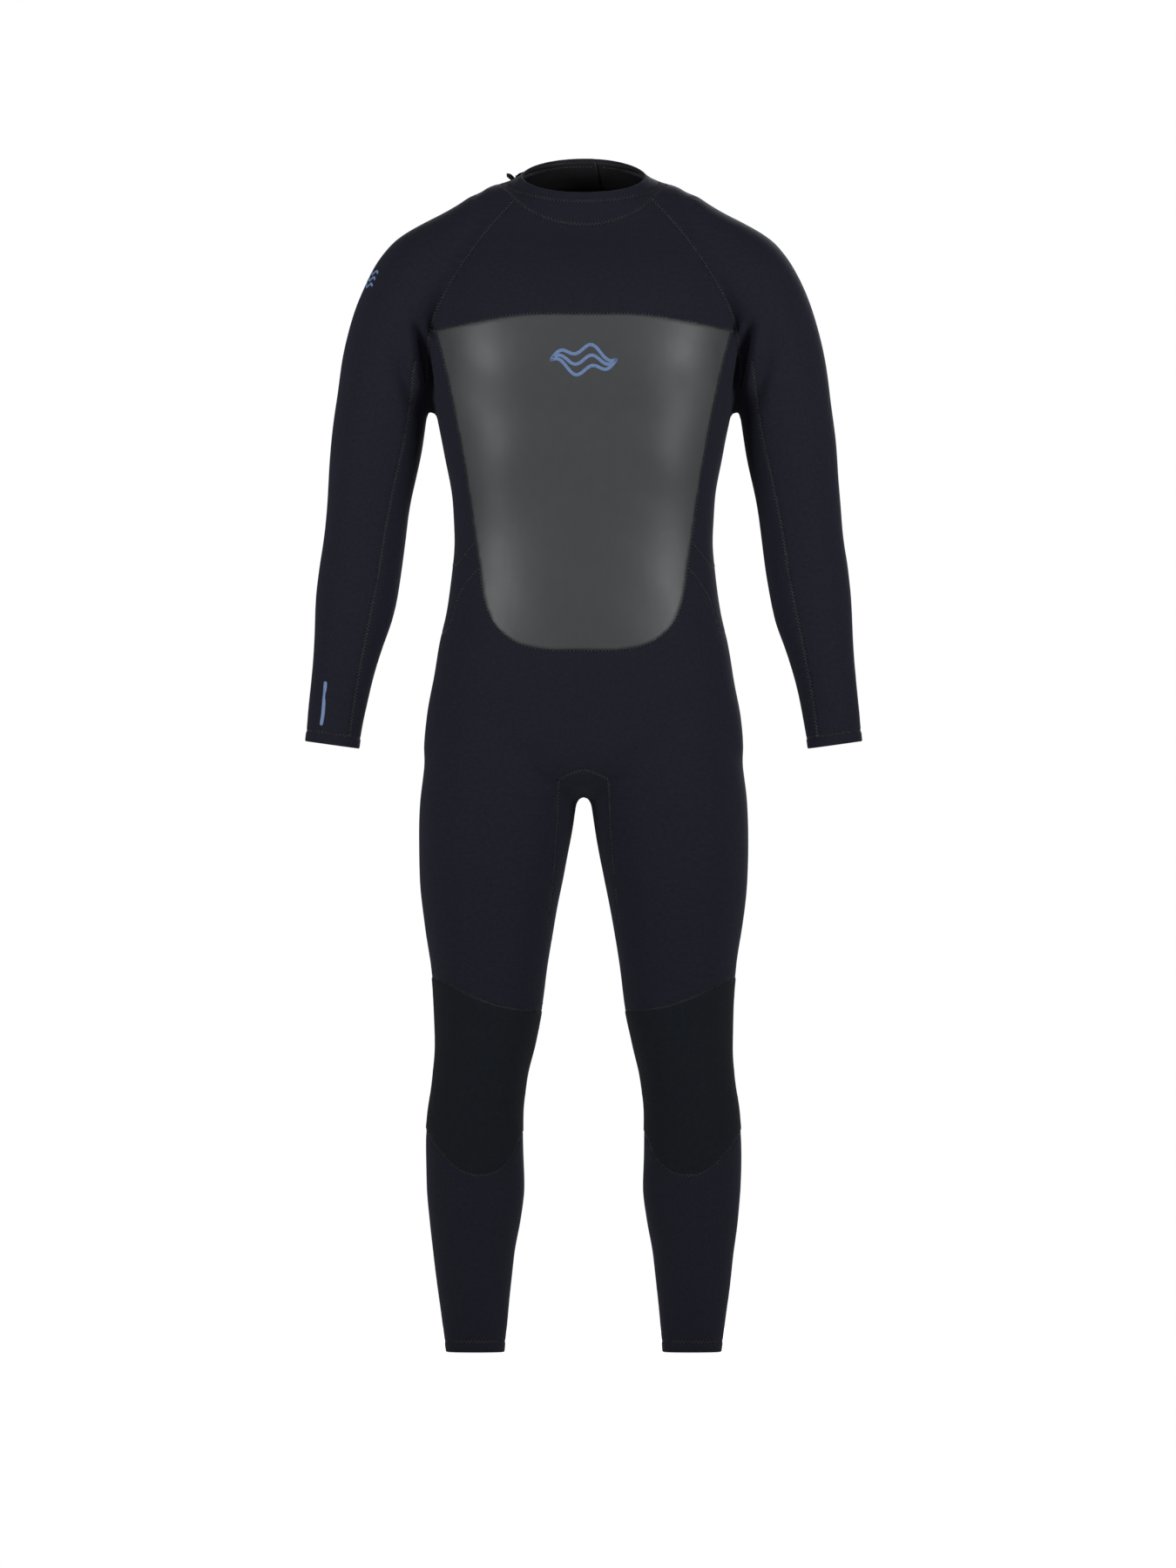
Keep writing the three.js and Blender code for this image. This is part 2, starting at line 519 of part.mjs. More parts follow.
const pull = [
  bar,
  tabPlate,
  block([PULL.armIn, PULL.armOut], [-PULL.thick, PULL.thick], [PULL.neck, 1]),
  block([-PULL.armOut, -PULL.armIn], [-PULL.thick, PULL.thick], [PULL.neck, 1]),
].map(solidOf).reduce((all, part) => all.add(part));
const pullGeometry = geometryOf(pull);
pullGeometry.translate(0, SLIDER.pivot, 0);
addZipPart('zip_pull', pullGeometry, SLIDER.z, METAL);

// ---- Printed marks: plain water ripples ----
const ripple = ([x, z], length, height, stroke, side = FRONT) => {
  const line = (lift) => {
    const points = [];
    for (let i = 0; i <= 12; i++) {
      const t = i / 12;
      const wave = 0.16 * height * Math.sin(4 * Math.PI * t);
      points.push(new THREE.Vector2(x + (t - 0.5) * length, z + lift * height * Math.sin(Math.PI * t) + wave));
    }
    return prism(stripShape(points, stroke), side);
  };
  return line(-0.4).add(line(0)).add(line(0.4));
};
const printLayer = suitSolid(0.8).subtract(suitSolid(0.3));
const addMark = (name, shape) => addSolid(name, printLayer.intersect(shape), PRINT);
addMark('chest_mark', ripple([0, 1193], 78, 34, 4));
addMark('right_shoulder_mark', ripple([-262, 1290], 22, 24, 2.5));
addMark('right_forearm_mark', prism(outline([[-317, 755], [-312, 755], [-309, 808], [-314, 808]]), FRONT));

// ---- Origin: below the middle of the suit, on the plane of the ankle hems ----
const bounds = new THREE.Box3().setFromObject(group);
group.position.set(-(bounds.min.x + bounds.max.x) / 2, -(bounds.min.y + bounds.max.y) / 2, -bounds.min.z);

export default group;
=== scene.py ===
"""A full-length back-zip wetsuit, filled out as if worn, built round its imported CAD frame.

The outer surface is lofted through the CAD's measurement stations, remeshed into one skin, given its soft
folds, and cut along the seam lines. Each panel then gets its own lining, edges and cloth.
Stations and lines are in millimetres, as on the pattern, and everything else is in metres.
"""

import math

import bpy
import numpy as np
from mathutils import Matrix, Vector
from mathutils.bvhtree import BVHTree
from mathutils.geometry import delaunay_2d_cdt
from mathutils.interpolate import poly_3d_calc
from mathutils.kdtree import KDTree


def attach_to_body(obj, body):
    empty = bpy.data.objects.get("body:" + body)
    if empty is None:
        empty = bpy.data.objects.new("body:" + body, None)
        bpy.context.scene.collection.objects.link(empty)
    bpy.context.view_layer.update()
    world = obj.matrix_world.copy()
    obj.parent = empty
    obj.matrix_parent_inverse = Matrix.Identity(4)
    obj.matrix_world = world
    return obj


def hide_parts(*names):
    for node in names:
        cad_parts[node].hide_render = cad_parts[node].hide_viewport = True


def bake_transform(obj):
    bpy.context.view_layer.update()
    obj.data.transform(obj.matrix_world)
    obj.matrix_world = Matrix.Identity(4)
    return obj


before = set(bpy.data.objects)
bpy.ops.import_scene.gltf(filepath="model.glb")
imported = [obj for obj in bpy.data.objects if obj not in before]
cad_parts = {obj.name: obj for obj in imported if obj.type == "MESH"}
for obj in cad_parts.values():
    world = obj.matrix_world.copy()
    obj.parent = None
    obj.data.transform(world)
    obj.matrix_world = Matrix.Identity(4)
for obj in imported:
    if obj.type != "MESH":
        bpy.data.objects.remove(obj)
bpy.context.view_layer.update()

MM = 0.001
ORIGIN = np.array([0, -0.08 * MM, 0])   # the CAD's own shift of the origin
WALL = 3 * MM                           # thickness of the foam with its cloth
VOXEL = 4.2 * MM
SNAP = 0.24 * VOXEL                     # a skin point this near a line slides onto it
REACH = 14 * MM                         # how far from a line its distance is worked out
GROOVE_DEPTH = 1.3 * MM
GROOVE_HALF = 2.5 * MM
PAD_RAISE = 1.0 * MM
HEM_RAISE = 0.6 * MM
RAISE_STEP = 3.5 * MM                   # width over which a pad or hem rises from its seam
HEM_HEIGHT = 13                         # mm
RIM_HEIGHT = 1418                       # mm, the middle of the collar's sloping rim
RIM_ROUND = 1.5                         # mm left for the rounded lip of an open end
RIM_ROW = 10.5                          # mm from the collar's rim down to its row of stitching
RIM_UP = np.array([0, -22.5, 61.5]) / math.hypot(22.5, 61.5)
FRONT, BACK, BOTH = -1, 1, 0            # the sides of the suit
FINE, TINY = 1e-9, 1e-12                # keep divisions off zero


# ---- Small sums used all over ----
def unit(vectors, least=0):
    """Each row scaled to length 1."""
    return vectors / np.maximum(np.linalg.norm(vectors, axis=1, keepdims=True), least)


def lengths_along(points):
    """The distance from the first point to each point of a run."""
    return np.r_[0, np.cumsum(np.linalg.norm(np.diff(points, axis=0), axis=1))]


def smoothstep(x):
    """From 0 to 1 as x goes from 0 to 1, with soft ends."""
    x = np.clip(x, 0, 1)
    return x * x * (3 - 2 * x)


def corner_pairs(faces):
    """The three edges of each triangle, as pairs of points."""
    return np.vstack([faces[:, [0, 1]], faces[:, [1, 2]], faces[:, [2, 0]]])


def edge_key(pairs, total):
    """One number for each edge, the same from both sides."""
    return np.sort(pairs, 1) @ np.array([total, 1])


def border_pairs(faces, total):
    """The edges that only one triangle has."""
    pairs = corner_pairs(faces)
    _, inverse, times = np.unique(edge_key(pairs, total), return_inverse=True, return_counts=True)
    return pairs[times[inverse] == 1]


def strip(before, after, a, b):
    """Two triangles for each edge a-b between two rows of points, called before and after."""
    return [np.stack([before[b], before[a], after[a]], 1), np.stack([before[b], after[a], after[b]], 1)]


def hermite(before, after, lead_slope, trail_slope, step, s):
    """A cubic from before to after at the share s of the step between them."""
    ahead, lead, trail = 3 * s**2 - 2 * s**3, s - 2 * s**2 + s**3, s**3 - s**2
    return before * (1 - ahead) + after * ahead + step * (lead_slope * lead + trail_slope * trail)


# ---- Measurement stations, as in the CAD ----
ZIP_LOW, ZIP_HIGH, SLOT_HALF, SLOT_END = 935, 1350, 9, 4
SPINE_LOW, SPINE_HIGH = (895, 82), (1352, 110)
SPINE_SLOPE = (SPINE_HIGH[1] - SPINE_LOW[1]) / (SPINE_HIGH[0] - SPINE_LOW[0])


def spine(z):
    """How far back the straight line of the spine lies at a height, in mm."""
    return SPINE_LOW[1] + (z - SPINE_LOW[0]) * SPINE_SLOPE


# Height, half width, front depth, back depth, rise of the back over the front, squareness
TORSO = [
    (671, 70, 44, 52, 0, 2.0), (684, 150, 76, 92, 0, 2.1), (704, 190, 92, 113, 0, 2.2),
    (727, 192.5, 97, 122, 0, 2.3), (762, 190, 100, 127, 0, 2.3), (811, 181, 103, 120, 0, 2.3),
    (853, 174, 102, 104, 0, 2.3), (895, 165, 101, spine(895), 0, 2.3), (937, 159, 100, spine(937), 0, 2.3),
    (979, 155.5, 102, spine(979), 0, 2.3), (1021, 157.5, 106, spine(1021), 0, 2.3),
    (1084, 168.5, 114, spine(1084), 0, 2.35), (1147, 180, 122, spine(1147), 0, 2.4),
    (1210, 185, 126, spine(1210), 0, 2.4), (1262, 184, 120, spine(1262), 0, 2.4),
    (1305, 180, 106, spine(1309), 8, 2.3), (1338, 170, 86, spine(1348), 20, 2.2),
    (1362, 150, 72, 98, 34, 2.1), (1384, 122, 64, 83, 42, 2.0), (1401, 97, 61, 71, 45, 2.0),
    (1418, 74, 60, 63, 45, 2.0),
    (1436, 66, 59, 60, 45, 2.0),
]
# Height, outer edge, inner edge, front depth, back depth
LEG = [
    (790, 176, 30, 80, 95), (735, 188, 12, 90, 112), (690, 194, 3, 93, 113), (664, 197, 8, 93, 109),
    (622, 199, 15, 92, 102), (568, 197.5, 25, 89, 94), (512, 191, 36, 82, 85), (460, 183.5, 44, 74, 75),
    (412, 180, 50, 67, 67), (370, 179, 59, 62, 63), (328, 182, 69, 59, 65), (286, 188, 73, 56, 72),
    (244, 190.5, 72.5, 53, 77), (202, 189.5, 71, 50, 77), (160, 186, 76, 46, 70), (118, 181, 83.5, 40, 61),
    (76, 176, 88, 33, 55), (34, 170, 92, 27, 54), (0, 165.5, 95.5, 26, 56), (-20, 163, 97, 25, 57),
]
# Outer edge x and z, inner edge x and z, middle y, half depth
SLEEVE = [
    (132, 1385, 128, 1246, 10, 60), (167, 1373, 142, 1232, 10, 66), (201, 1357, 158, 1222, 9, 67),
    (228, 1339, 166, 1214, 9, 66), (254, 1305, 170, 1197, 8, 64), (275, 1258, 175, 1180, 7, 63),
    (289, 1205, 180, 1160, 7, 61), (298, 1148, 188, 1131, 6, 58), (305, 1093, 196, 1080, 6, 55),
    (308.5, 1035, 208, 1024, 6, 51), (312, 990, 214, 980, 4, 49), (319, 942, 221, 931, -1, 48),
    (323.5, 895, 230, 884, -7, 45.5), (325, 850, 245, 840, -13, 40.5), (328.5, 808, 257, 798, -18, 35.5),
    (332, 769, 265, 759, -22, 32), (335, 736, 270, 727, -26, 30.5), (337, 716, 272, 707, -28, 30),
]

# ---- Where the suit bends: point, direction from one body to the other, length of the bend, in mm ----
SHOULDER = ((186, 1143), (0.6, -0.8), 92)
ELBOW = ((253.8, 1047.4), (0.146, -0.9893), 112)
HIP = ((0, 668), (0.55, -0.835), 150)
HIP_LIFT = HIP[1][0] / -HIP[1][1]       # slope of the lines across the thigh
KNEE = ((122, 421), (0, -1), 156)
ELBOW_PIVOT, ELBOW_HALF = (262, 992), 56   # the partings lie this far on either side of the elbow
CUFF_EDGE, CUFF_DOWN = (302.5, 731.5), (0.137, -0.9906)

# ---- Seam lines in front view (x, z), for the wearer's left ----
COLLAR_SIDE = [(92, 1400), (120, 1424)]
RAGLAN_SIDE = [(189.5, 1190), (186, 1128)]
WAIST_UPPER_SIDE = [(151, 950), (170, 945)]
WAIST_LOWER_SIDE = [(163, 871), (182, 859)]
COLLAR_FRONT = [(0, 1357), (40, 1363), (72, 1380), COLLAR_SIDE[0]]
COLLAR_BACK = [(0, 1403), (50, 1403), COLLAR_SIDE[0]]
RAGLAN_FRONT = [(78, 1394), (124, 1341), (158, 1290), (181, 1243), RAGLAN_SIDE[0]]
RAGLAN_BACK = [(63, 1406), (112, 1352), (150, 1290), (179, 1232), RAGLAN_SIDE[0]]
CHEST_TOP = [(0, 1248), (75, 1247), (130, 1239), (184, 1229)]
CHEST_SIDE = [(0, 846), (50, 847), (83, 856), (104, 873), (118, 902), (125, 944), (139, 1042), (155, 1130),
              (167, 1187), (180, 1235)]
WAIST_UPPER_FRONT = [(129, 977), WAIST_UPPER_SIDE[0]]
WAIST_LOWER_FRONT = [(121, 950), (148, 915), WAIST_LOWER_SIDE[0]]
BACK_SIDE = [(166, 1280), (143, 1180), (126, 1080), (117, 980), (115, 915), (118, 850)]
WAIST_UPPER_BACK = [(112, 939), (135, 944), WAIST_UPPER_SIDE[0]]
WAIST_LOWER_BACK = [(112, 854), (145, 860), WAIST_LOWER_SIDE[0]]
SEAT_TOP = [(0, 843), (60, 846), (122, 856)]
HIP_SIDE = [(150, 868), (156, 815), (160, 765)]
UNDERARM = [(247, 935), (256, 890), (266, 840), (275, 790), (281.5, 741)]
UNDERARM_UPPER = [(203, 1190), (213, 1115), (226, 1055), (240, 983), (247, 935)]
PAD_TOP = [(30, 413), (76, 413), (103, 418), (131, 428), (158, 441), (205, 464)]
PAD_BOTTOM = [(50, 290), (72, 266), (88, 234), (106, 218), (128, 214), (150, 221), (170, 240), (205, 290)]
GUSSET = [(0, 702), (16, 697), (36, 686)]
INSEAM = [(30, 693), (32, 640), (37, 570), (42, 516)]

# ---- Soft folds: ends (x, z), side (-1 front, 1 back), depth and half width in mm ----
FOLDS = [
    ((204, 1246), (184, 1160), -1, 8.0, 6), ((213, 1222), (196, 1150), -1, -4.5, 7),
    ((226, 1205), (207, 1130), -1, 3.2, 8), ((177, 1222), (175, 1160), -1, -2.2, 7),
    ((205, 1250), (188, 1150), 1, 6.0, 7), ((222, 1215), (200, 1140), 1, -3.4, 8),
    ((216, 1000), (272, 1012), -1, 1.2, 9), ((220, 968), (276, 980), -1, 1.1, 9),
    ((226, 1018), (300, 1000), 1, 0.9, 10), ((232, 930), (285, 945), -1, 0.8, 10),
    ((278, 800), (322, 812), -1, 0.6, 8), ((274, 850), (318, 858), -1, 0.5, 9),
    ((10, 694), (78, 728), -1, 1.4, 9), ((8, 676), (66, 694), -1, 1.0, 8), ((30, 655), (84, 668), -1, 0.8, 9),
    ((25, 712), (160, 700), 1, 2.6, 13), ((20, 660), (140, 652), 1, 1.4, 12),
    ((78, 345), (168, 343), 1, 1.8, 8), ((80, 372), (162, 366), 1, 1.2, 8),
    ((80, 318), (166, 322), 1, 1.2, 8),
    ((84, 392), (160, 400), -1, 0.8, 9), ((84, 300), (150, 292), -1, 0.7, 9),
    ((0, 965), (0, 880), 1, 0.9, 9), ((20, 962), (140, 955), 1, 1.2, 11), ((25, 925), (130, 915), 1, 1.0, 11),
    ((104, 40), (158, 46), -1, 0.7, 7), ((100, 62), (160, 58), 1, 0.7, 8),
]

# ---- The chest's broad shape under the suit: middle (x, z), half width, half height and lift in mm ----
BULGES = [(88, 1190, 52, 38, 3.6), (98, 1068, 40, 60, 4.2), (0, 1130, 16, 95, -1.6), (60, 1128, 60, 24, -1.3),
          (0, 905, 70, 60, 1.8)]

# Where each shoulder's slope is filled, in mm: middle x, rise, half width towards the neck and the arm
SHOULDER_FILL = (120, 13, 26, 31)


# ---- Lofts ----
def between(rows, key, steps):
    """Rows through the stations on a monotone cubic; key gives the columns whose change is the spacing."""
    rows = np.array(rows, float)
    step = np.diff(lengths_along(rows[:, key]))[:, None]
    slope = np.diff(rows, axis=0) / step
    product = slope[:-1] * slope[1:]
    total = np.where(np.abs(slope[:-1] + slope[1:]) < FINE, 1, slope[:-1] + slope[1:])
    tangent = np.vstack([slope[:1], np.where(product > 0, 2 * product / total, 0), slope[-1:]])
    shares = np.arange(steps) / steps
    made = [hermite(rows[:-1], rows[1:], tangent[:-1], tangent[1:], step, s) for s in shares]
    return np.vstack([np.stack(made, 1).reshape(-1, rows.shape[1]), rows[-1:]])


def rings(centre, across, half, front, back, rise, square, sides):
    """Rings of points in metres: superellipses across and in depth, with the back lifted over the front."""
    angle = 2 * math.pi * np.arange(sides)[None, :] / sides
    power = (2 / np.broadcast_to(square, half.shape))[:, None]
    c = np.sign(np.cos(angle)) * np.abs(np.cos(angle)) ** power
    s = np.sign(np.sin(angle)) * np.abs(np.sin(angle)) ** power
    points = centre[:, None, :] + across[:, None, :] * (half[:, None] * c)[:, :, None]
    points[:, :, 1] += np.where(s > 0, back[:, None], front[:, None]) * s
    points[:, :, 2] += np.broadcast_to(rise, half.shape)[:, None] / 2 * s
    return points * MM


STEPS = 5                # rings from one station to the next
SQUARENESS = 2.1         # of the legs and sleeves
TORSO_SIDES, LEG_SIDES, SLEEVE_SIDES = 120, 72, 64


def torso_rings():
    """The body from crotch to collar."""
    z, half, front, back, rise, square = between(TORSO, [0], STEPS).T
    centre = np.stack([0 * z, 0 * z, z], 1)
    across = np.tile([1.0, 0, 0], (len(z), 1))
    return rings(centre, across, half, front, back, rise, square, TORSO_SIDES)


def leg_rings(side):
    """One leg, from inside the seat to just below the ankle's hem."""
    z, outer, inner, front, back = between(LEG, [0], STEPS).T
    centre = np.stack([side * (outer + inner) / 2, 0 * z, z], 1)
    across = np.tile([1.0, 0, 0], (len(z), 1))
    return rings(centre, across, (outer - inner) / 2, front, back, 0, SQUARENESS, LEG_SIDES)


def sleeve_rings(side):
    """One sleeve, from inside the shoulder to just past the wrist's hem."""
    ox, oz, ix, iz, y, depth = between(SLEEVE, [0, 1], STEPS).T
    outer, inner = np.stack([side * ox, y, oz], 1), np.stack([side * ix, y, iz], 1)
    width = np.linalg.norm(outer - inner, axis=1)
    across = (outer - inner) / width[:, None]
    return rings((outer + inner) / 2, across, width / 2, depth, depth, 0, SQUARENESS, SLEEVE_SIDES)


def closed_tube(points):
    """A closed mesh over a stack of rings, as (vertices, faces)."""
    count, sides, _ = points.shape
    i, j = np.meshgrid(np.arange(count - 1), np.arange(sides), indexing="ij")
    a, b = i * sides + j, i * sides + (j + 1) % sides
    quads = np.stack([a, b, b + sides, a + sides], -1).reshape(-1, 4).tolist()
    ends = [points[0].mean(0), points[-1].mean(0)]
    total = count * sides
    for j in range(sides):
        quads.append((total, (j + 1) % sides, j))
        quads.append((total + 1, total - sides + j, total - sides + (j + 1) % sides))
    return np.vstack([points.reshape(-1, 3), ends]), quads


def one_skin(tubes):
    """The tubes' common outer surface, as triangles."""
    co, faces = [], []
    for points, quads in map(closed_tube, tubes):
        start = sum(len(x) for x in co)
        co.append(points)
        faces += [tuple(v + start for v in face) for face in quads]
    mesh = bpy.data.meshes.new("lofts")
    mesh.from_pydata(np.vstack(co).tolist(), [], faces)
    lofts = bpy.data.objects.new("lofts", mesh)
    bpy.context.scene.collection.objects.link(lofts)
    remesh = lofts.modifiers.new("voxels", "REMESH")
    remesh.mode = "VOXEL"
    remesh.voxel_size = VOXEL
    made = lofts.evaluated_get(bpy.context.evaluated_depsgraph_get()).to_mesh()
    points = np.zeros(len(made.vertices) * 3)
    made.vertices.foreach_get("co", points)
    corners = np.zeros(len(made.loops), np.int64)
    made.loops.foreach_get("vertex_index", corners)
    bpy.data.objects.remove(lofts)
    points, quads = points.reshape(-1, 3), corners.reshape(-1, 4)
    first = np.linalg.norm(points[quads[:, 0]] - points[quads[:, 2]], axis=1)
    second = np.linalg.norm(points[quads[:, 1]] - points[quads[:, 3]], axis=1)
    short = (first < second)[:, None]
    one = np.where(short, quads[:, [0, 1, 2]], quads[:, [0, 1, 3]])
    two = np.where(short, quads[:, [0, 2, 3]], quads[:, [1, 2, 3]])
    return points, np.vstack([one, two])


# ---- Skin: a triangle mesh that lines are cut into ----
def point_normals(co, faces):
    """Each point's normal, from the faces round it by their size."""
    a, b, c = (co[faces[:, k]] for k in range(3))
    across = np.cross(b - a, c - a)
    total = np.stack([sum(np.bincount(faces[:, k], across[:, axis], len(co)) for k in range(3))
                      for axis in range(3)], 1)
    return unit(total, TINY)


SHRINK, SWELL = 0.5, -0.52   # how far a point goes towards its neighbours, and back out


def relaxed(co, faces, rounds, share=1.0, keep=True):
    """Points moved towards their neighbours, each by its share; keep undoes the shrinkage."""
    edges = np.unique(np.sort(corner_pairs(faces), 1), axis=0)
    a, b = edges.T
    count = np.bincount(edges.ravel(), minlength=len(co))[:, None]
    share = np.broadcast_to(share, len(co))[:, None]
    for _ in range(rounds):
        for step in ((SHRINK, SWELL) if keep else (SHRINK,)):
            total = np.stack([np.bincount(a, co[b, k], len(co)) + np.bincount(b, co[a, k], len(co))
                              for k in range(3)], 1)
            co = co + share * step * (total / count - co)
    return co


STEEPEST = 0.3           # a point slides only where the surface faces the line this squarely
ON_LINE = 0.001 * MM


class Skin:
    """The suit's outer surface.

    lines holds the edges cut along each line, as point, point, line number. rim holds the edges of open ends.
    """

    def __init__(self, co, faces):
        self.co, self.faces = co, faces
        self.normal = point_normals(co, faces)
        self.lines = np.zeros((0, 3), np.int64)
        self.rim = np.zeros((0, 2), np.int64)

    def cut(self, f, gradient, near, line=None):
        """Cuts along f = 0 where near holds, and keeps the new edges under the line's number, if any."""
        fixed = np.zeros(len(self.co), bool)
        fixed[self.lines[:, :2].ravel()] = True
        fixed[self.rim.ravel()] = True
        slide = gradient - (gradient * self.normal).sum(1, keepdims=True) * self.normal
        size = np.maximum((slide * slide).sum(1), FINE)
        close = near & ~fixed & (np.abs(f) < SNAP) & (size > STEEPEST)
        self.co[close] -= (f / size)[close, None] * slide[close]
        zero = near & (close | (np.abs(f) < ON_LINE))
        f = np.where(zero, 0, f)
        total = len(self.co)
        chosen = np.flatnonzero(near[self.faces].sum(1) >= 2)
        part = self.faces[chosen]
        ahead = part[:, [1, 2, 0]]
        is_cut = near[part] & near[ahead] & (f[part] * f[ahead] < 0)
        key = np.minimum(part, ahead) * total + np.maximum(part, ahead)
        keys, number = np.unique(key[is_cut], return_inverse=True)
        middle = np.full(part.shape, -1)
        middle[is_cut] = total + number
        a, b = keys // total, keys % total
        t = (f[a] / (f[a] - f[b]))[:, None]
        self.co = np.vstack([self.co, self.co[a] + t * (self.co[b] - self.co[a])])
        self.normal = np.vstack([self.normal, unit(self.normal[a] + t * (self.normal[b] - self.normal[a]))])
        cuts = is_cut.sum(1)
        made, new_edges = [], []
        for k in range(3):
            one = (cuts == 1) & is_cut[:, k]
            v0, v1, v2 = part[one, k], part[one, (k + 1) % 3], part[one, (k + 2) % 3]
            m = middle[one, k]
            made += [np.stack([v0, m, v2], 1), np.stack([m, v1, v2], 1)]
            new_edges.append(np.stack([m, v2], 1)[zero[v2]])
            two = (cuts == 2) & ~is_cut[:, k]
            v1, v2, v0 = part[two, k], part[two, (k + 1) % 3], part[two, (k + 2) % 3]
            m01, m20 = middle[two, (k + 2) % 3], middle[two, (k + 1) % 3]
            first = np.linalg.norm(self.co[m01] - self.co[v2], axis=1)
            second = np.linalg.norm(self.co[v1] - self.co[m20], axis=1)
            short = (first < second)[:, None]
            made.append(np.stack([v0, m01, m20], 1))
            made.append(np.where(short, np.stack([m01, v1, v2], 1), np.stack([m01, v1, m20], 1)))
            made.append(np.where(short, np.stack([m01, v2, m20], 1), np.stack([v1, v2, m20], 1)))
            new_edges.append(np.stack([m01, m20], 1))
        both = zero[part] & zero[ahead]
        new_edges.append(np.stack([part[both], ahead[both]], 1))
        whole = np.ones(len(self.faces), bool)
        whole[chosen[cuts > 0]] = False
        self.faces = np.vstack([self.faces[whole], *made])
        self.split_lines(keys, total)
        if line is not None:
            edges = np.unique(np.sort(np.vstack(new_edges), 1), axis=0)
            self.lines = np.vstack([self.lines, np.column_stack([edges, np.full(len(edges), line)])])

    def split_lines(self, keys, total):
        """A kept edge that was cut again becomes two."""
        if not len(self.lines) or not len(keys):
            return
        key = self.lines[:, 0] * total + self.lines[:, 1]
        at = np.minimum(np.searchsorted(keys, key), len(keys) - 1)
        hit = keys[at] == key
        old, middle = self.lines[hit], total + at[hit]
        self.lines = np.vstack([
            self.lines[~hit],
            np.column_stack([old[:, 0], middle, old[:, 2]]),
            np.column_stack([old[:, 1], middle, old[:, 2]]),
        ])

    def drop(self, gone):
        """Takes these faces and their loose points away."""
        used, faces = np.unique(self.faces[~gone], return_inverse=True)
        self.co, self.normal, self.faces = self.co[used], self.normal[used], faces.reshape(-1, 3)


TRIM_REACH = 30 * MM


def trim(skin, point, outward, where):
    """Cuts an open end square to outward at a point, and drops what lies past it or flat along the cut."""
    outward = np.array(outward, float) / np.linalg.norm(outward)
    f = (skin.co - np.array(point)) @ outward
    near = where(skin.co) & (np.abs(f) < TRIM_REACH)
    skin.cut(f, np.tile(outward, (len(f), 1)), near)
    middle = skin.co[skin.faces].mean(1)
    skin.drop(where(middle) & ((middle - np.array(point)) @ outward > -ON_LINE))


# ---- Lines ----
CURVE_STEP, RUN_ON = 4.0, 5.0    # mm


def curve(points):
    """A smooth line through (x, z) points, with a point about every CURVE_STEP."""
    p = np.array(points, float)
    if len(p) < 3:
        return p
    t = lengths_along(p)
    tangent = np.gradient(p, t, axis=0)
    made = []
    for i in range(len(p) - 1):
        step = t[i + 1] - t[i]
        s = np.linspace(0, 1, max(2, round(step / CURVE_STEP)), endpoint=False)[:, None]
        made.append(hermite(p[i], p[i + 1], tangent[i], tangent[i + 1], step, s))
    return np.vstack([*made, p[-1:]])


def run_on(line):
    """The line with its ends run on, so that it crosses what it meets."""
    first, last = line[0] - line[1], line[-1] - line[-2]
    return np.vstack([line[0] + first / np.linalg.norm(first) * RUN_ON, line,
                      line[-1] + last / np.linalg.norm(last) * RUN_ON])


def across_middle(half, tail=()):
    """A line given from the middle outwards, carried across to the other side."""
    middle = curve([*[(-x, z) for x, z in half[:0:-1]], *half])
    return np.vstack([[(-x, z) for x, z in reversed(tail)], middle, tail]) if len(tail) else middle


def flat_line(point, direction, before, after):
    """A straight line through a point, square to a direction."""
    point, along = np.array(point, float), np.array([-direction[1], direction[0]])
    return np.array([point - along * before, point + along * after])


def past(point, direction, distance):
    """The point at a distance along a direction."""
    return tuple(np.array(point) + np.array(direction) * distance)


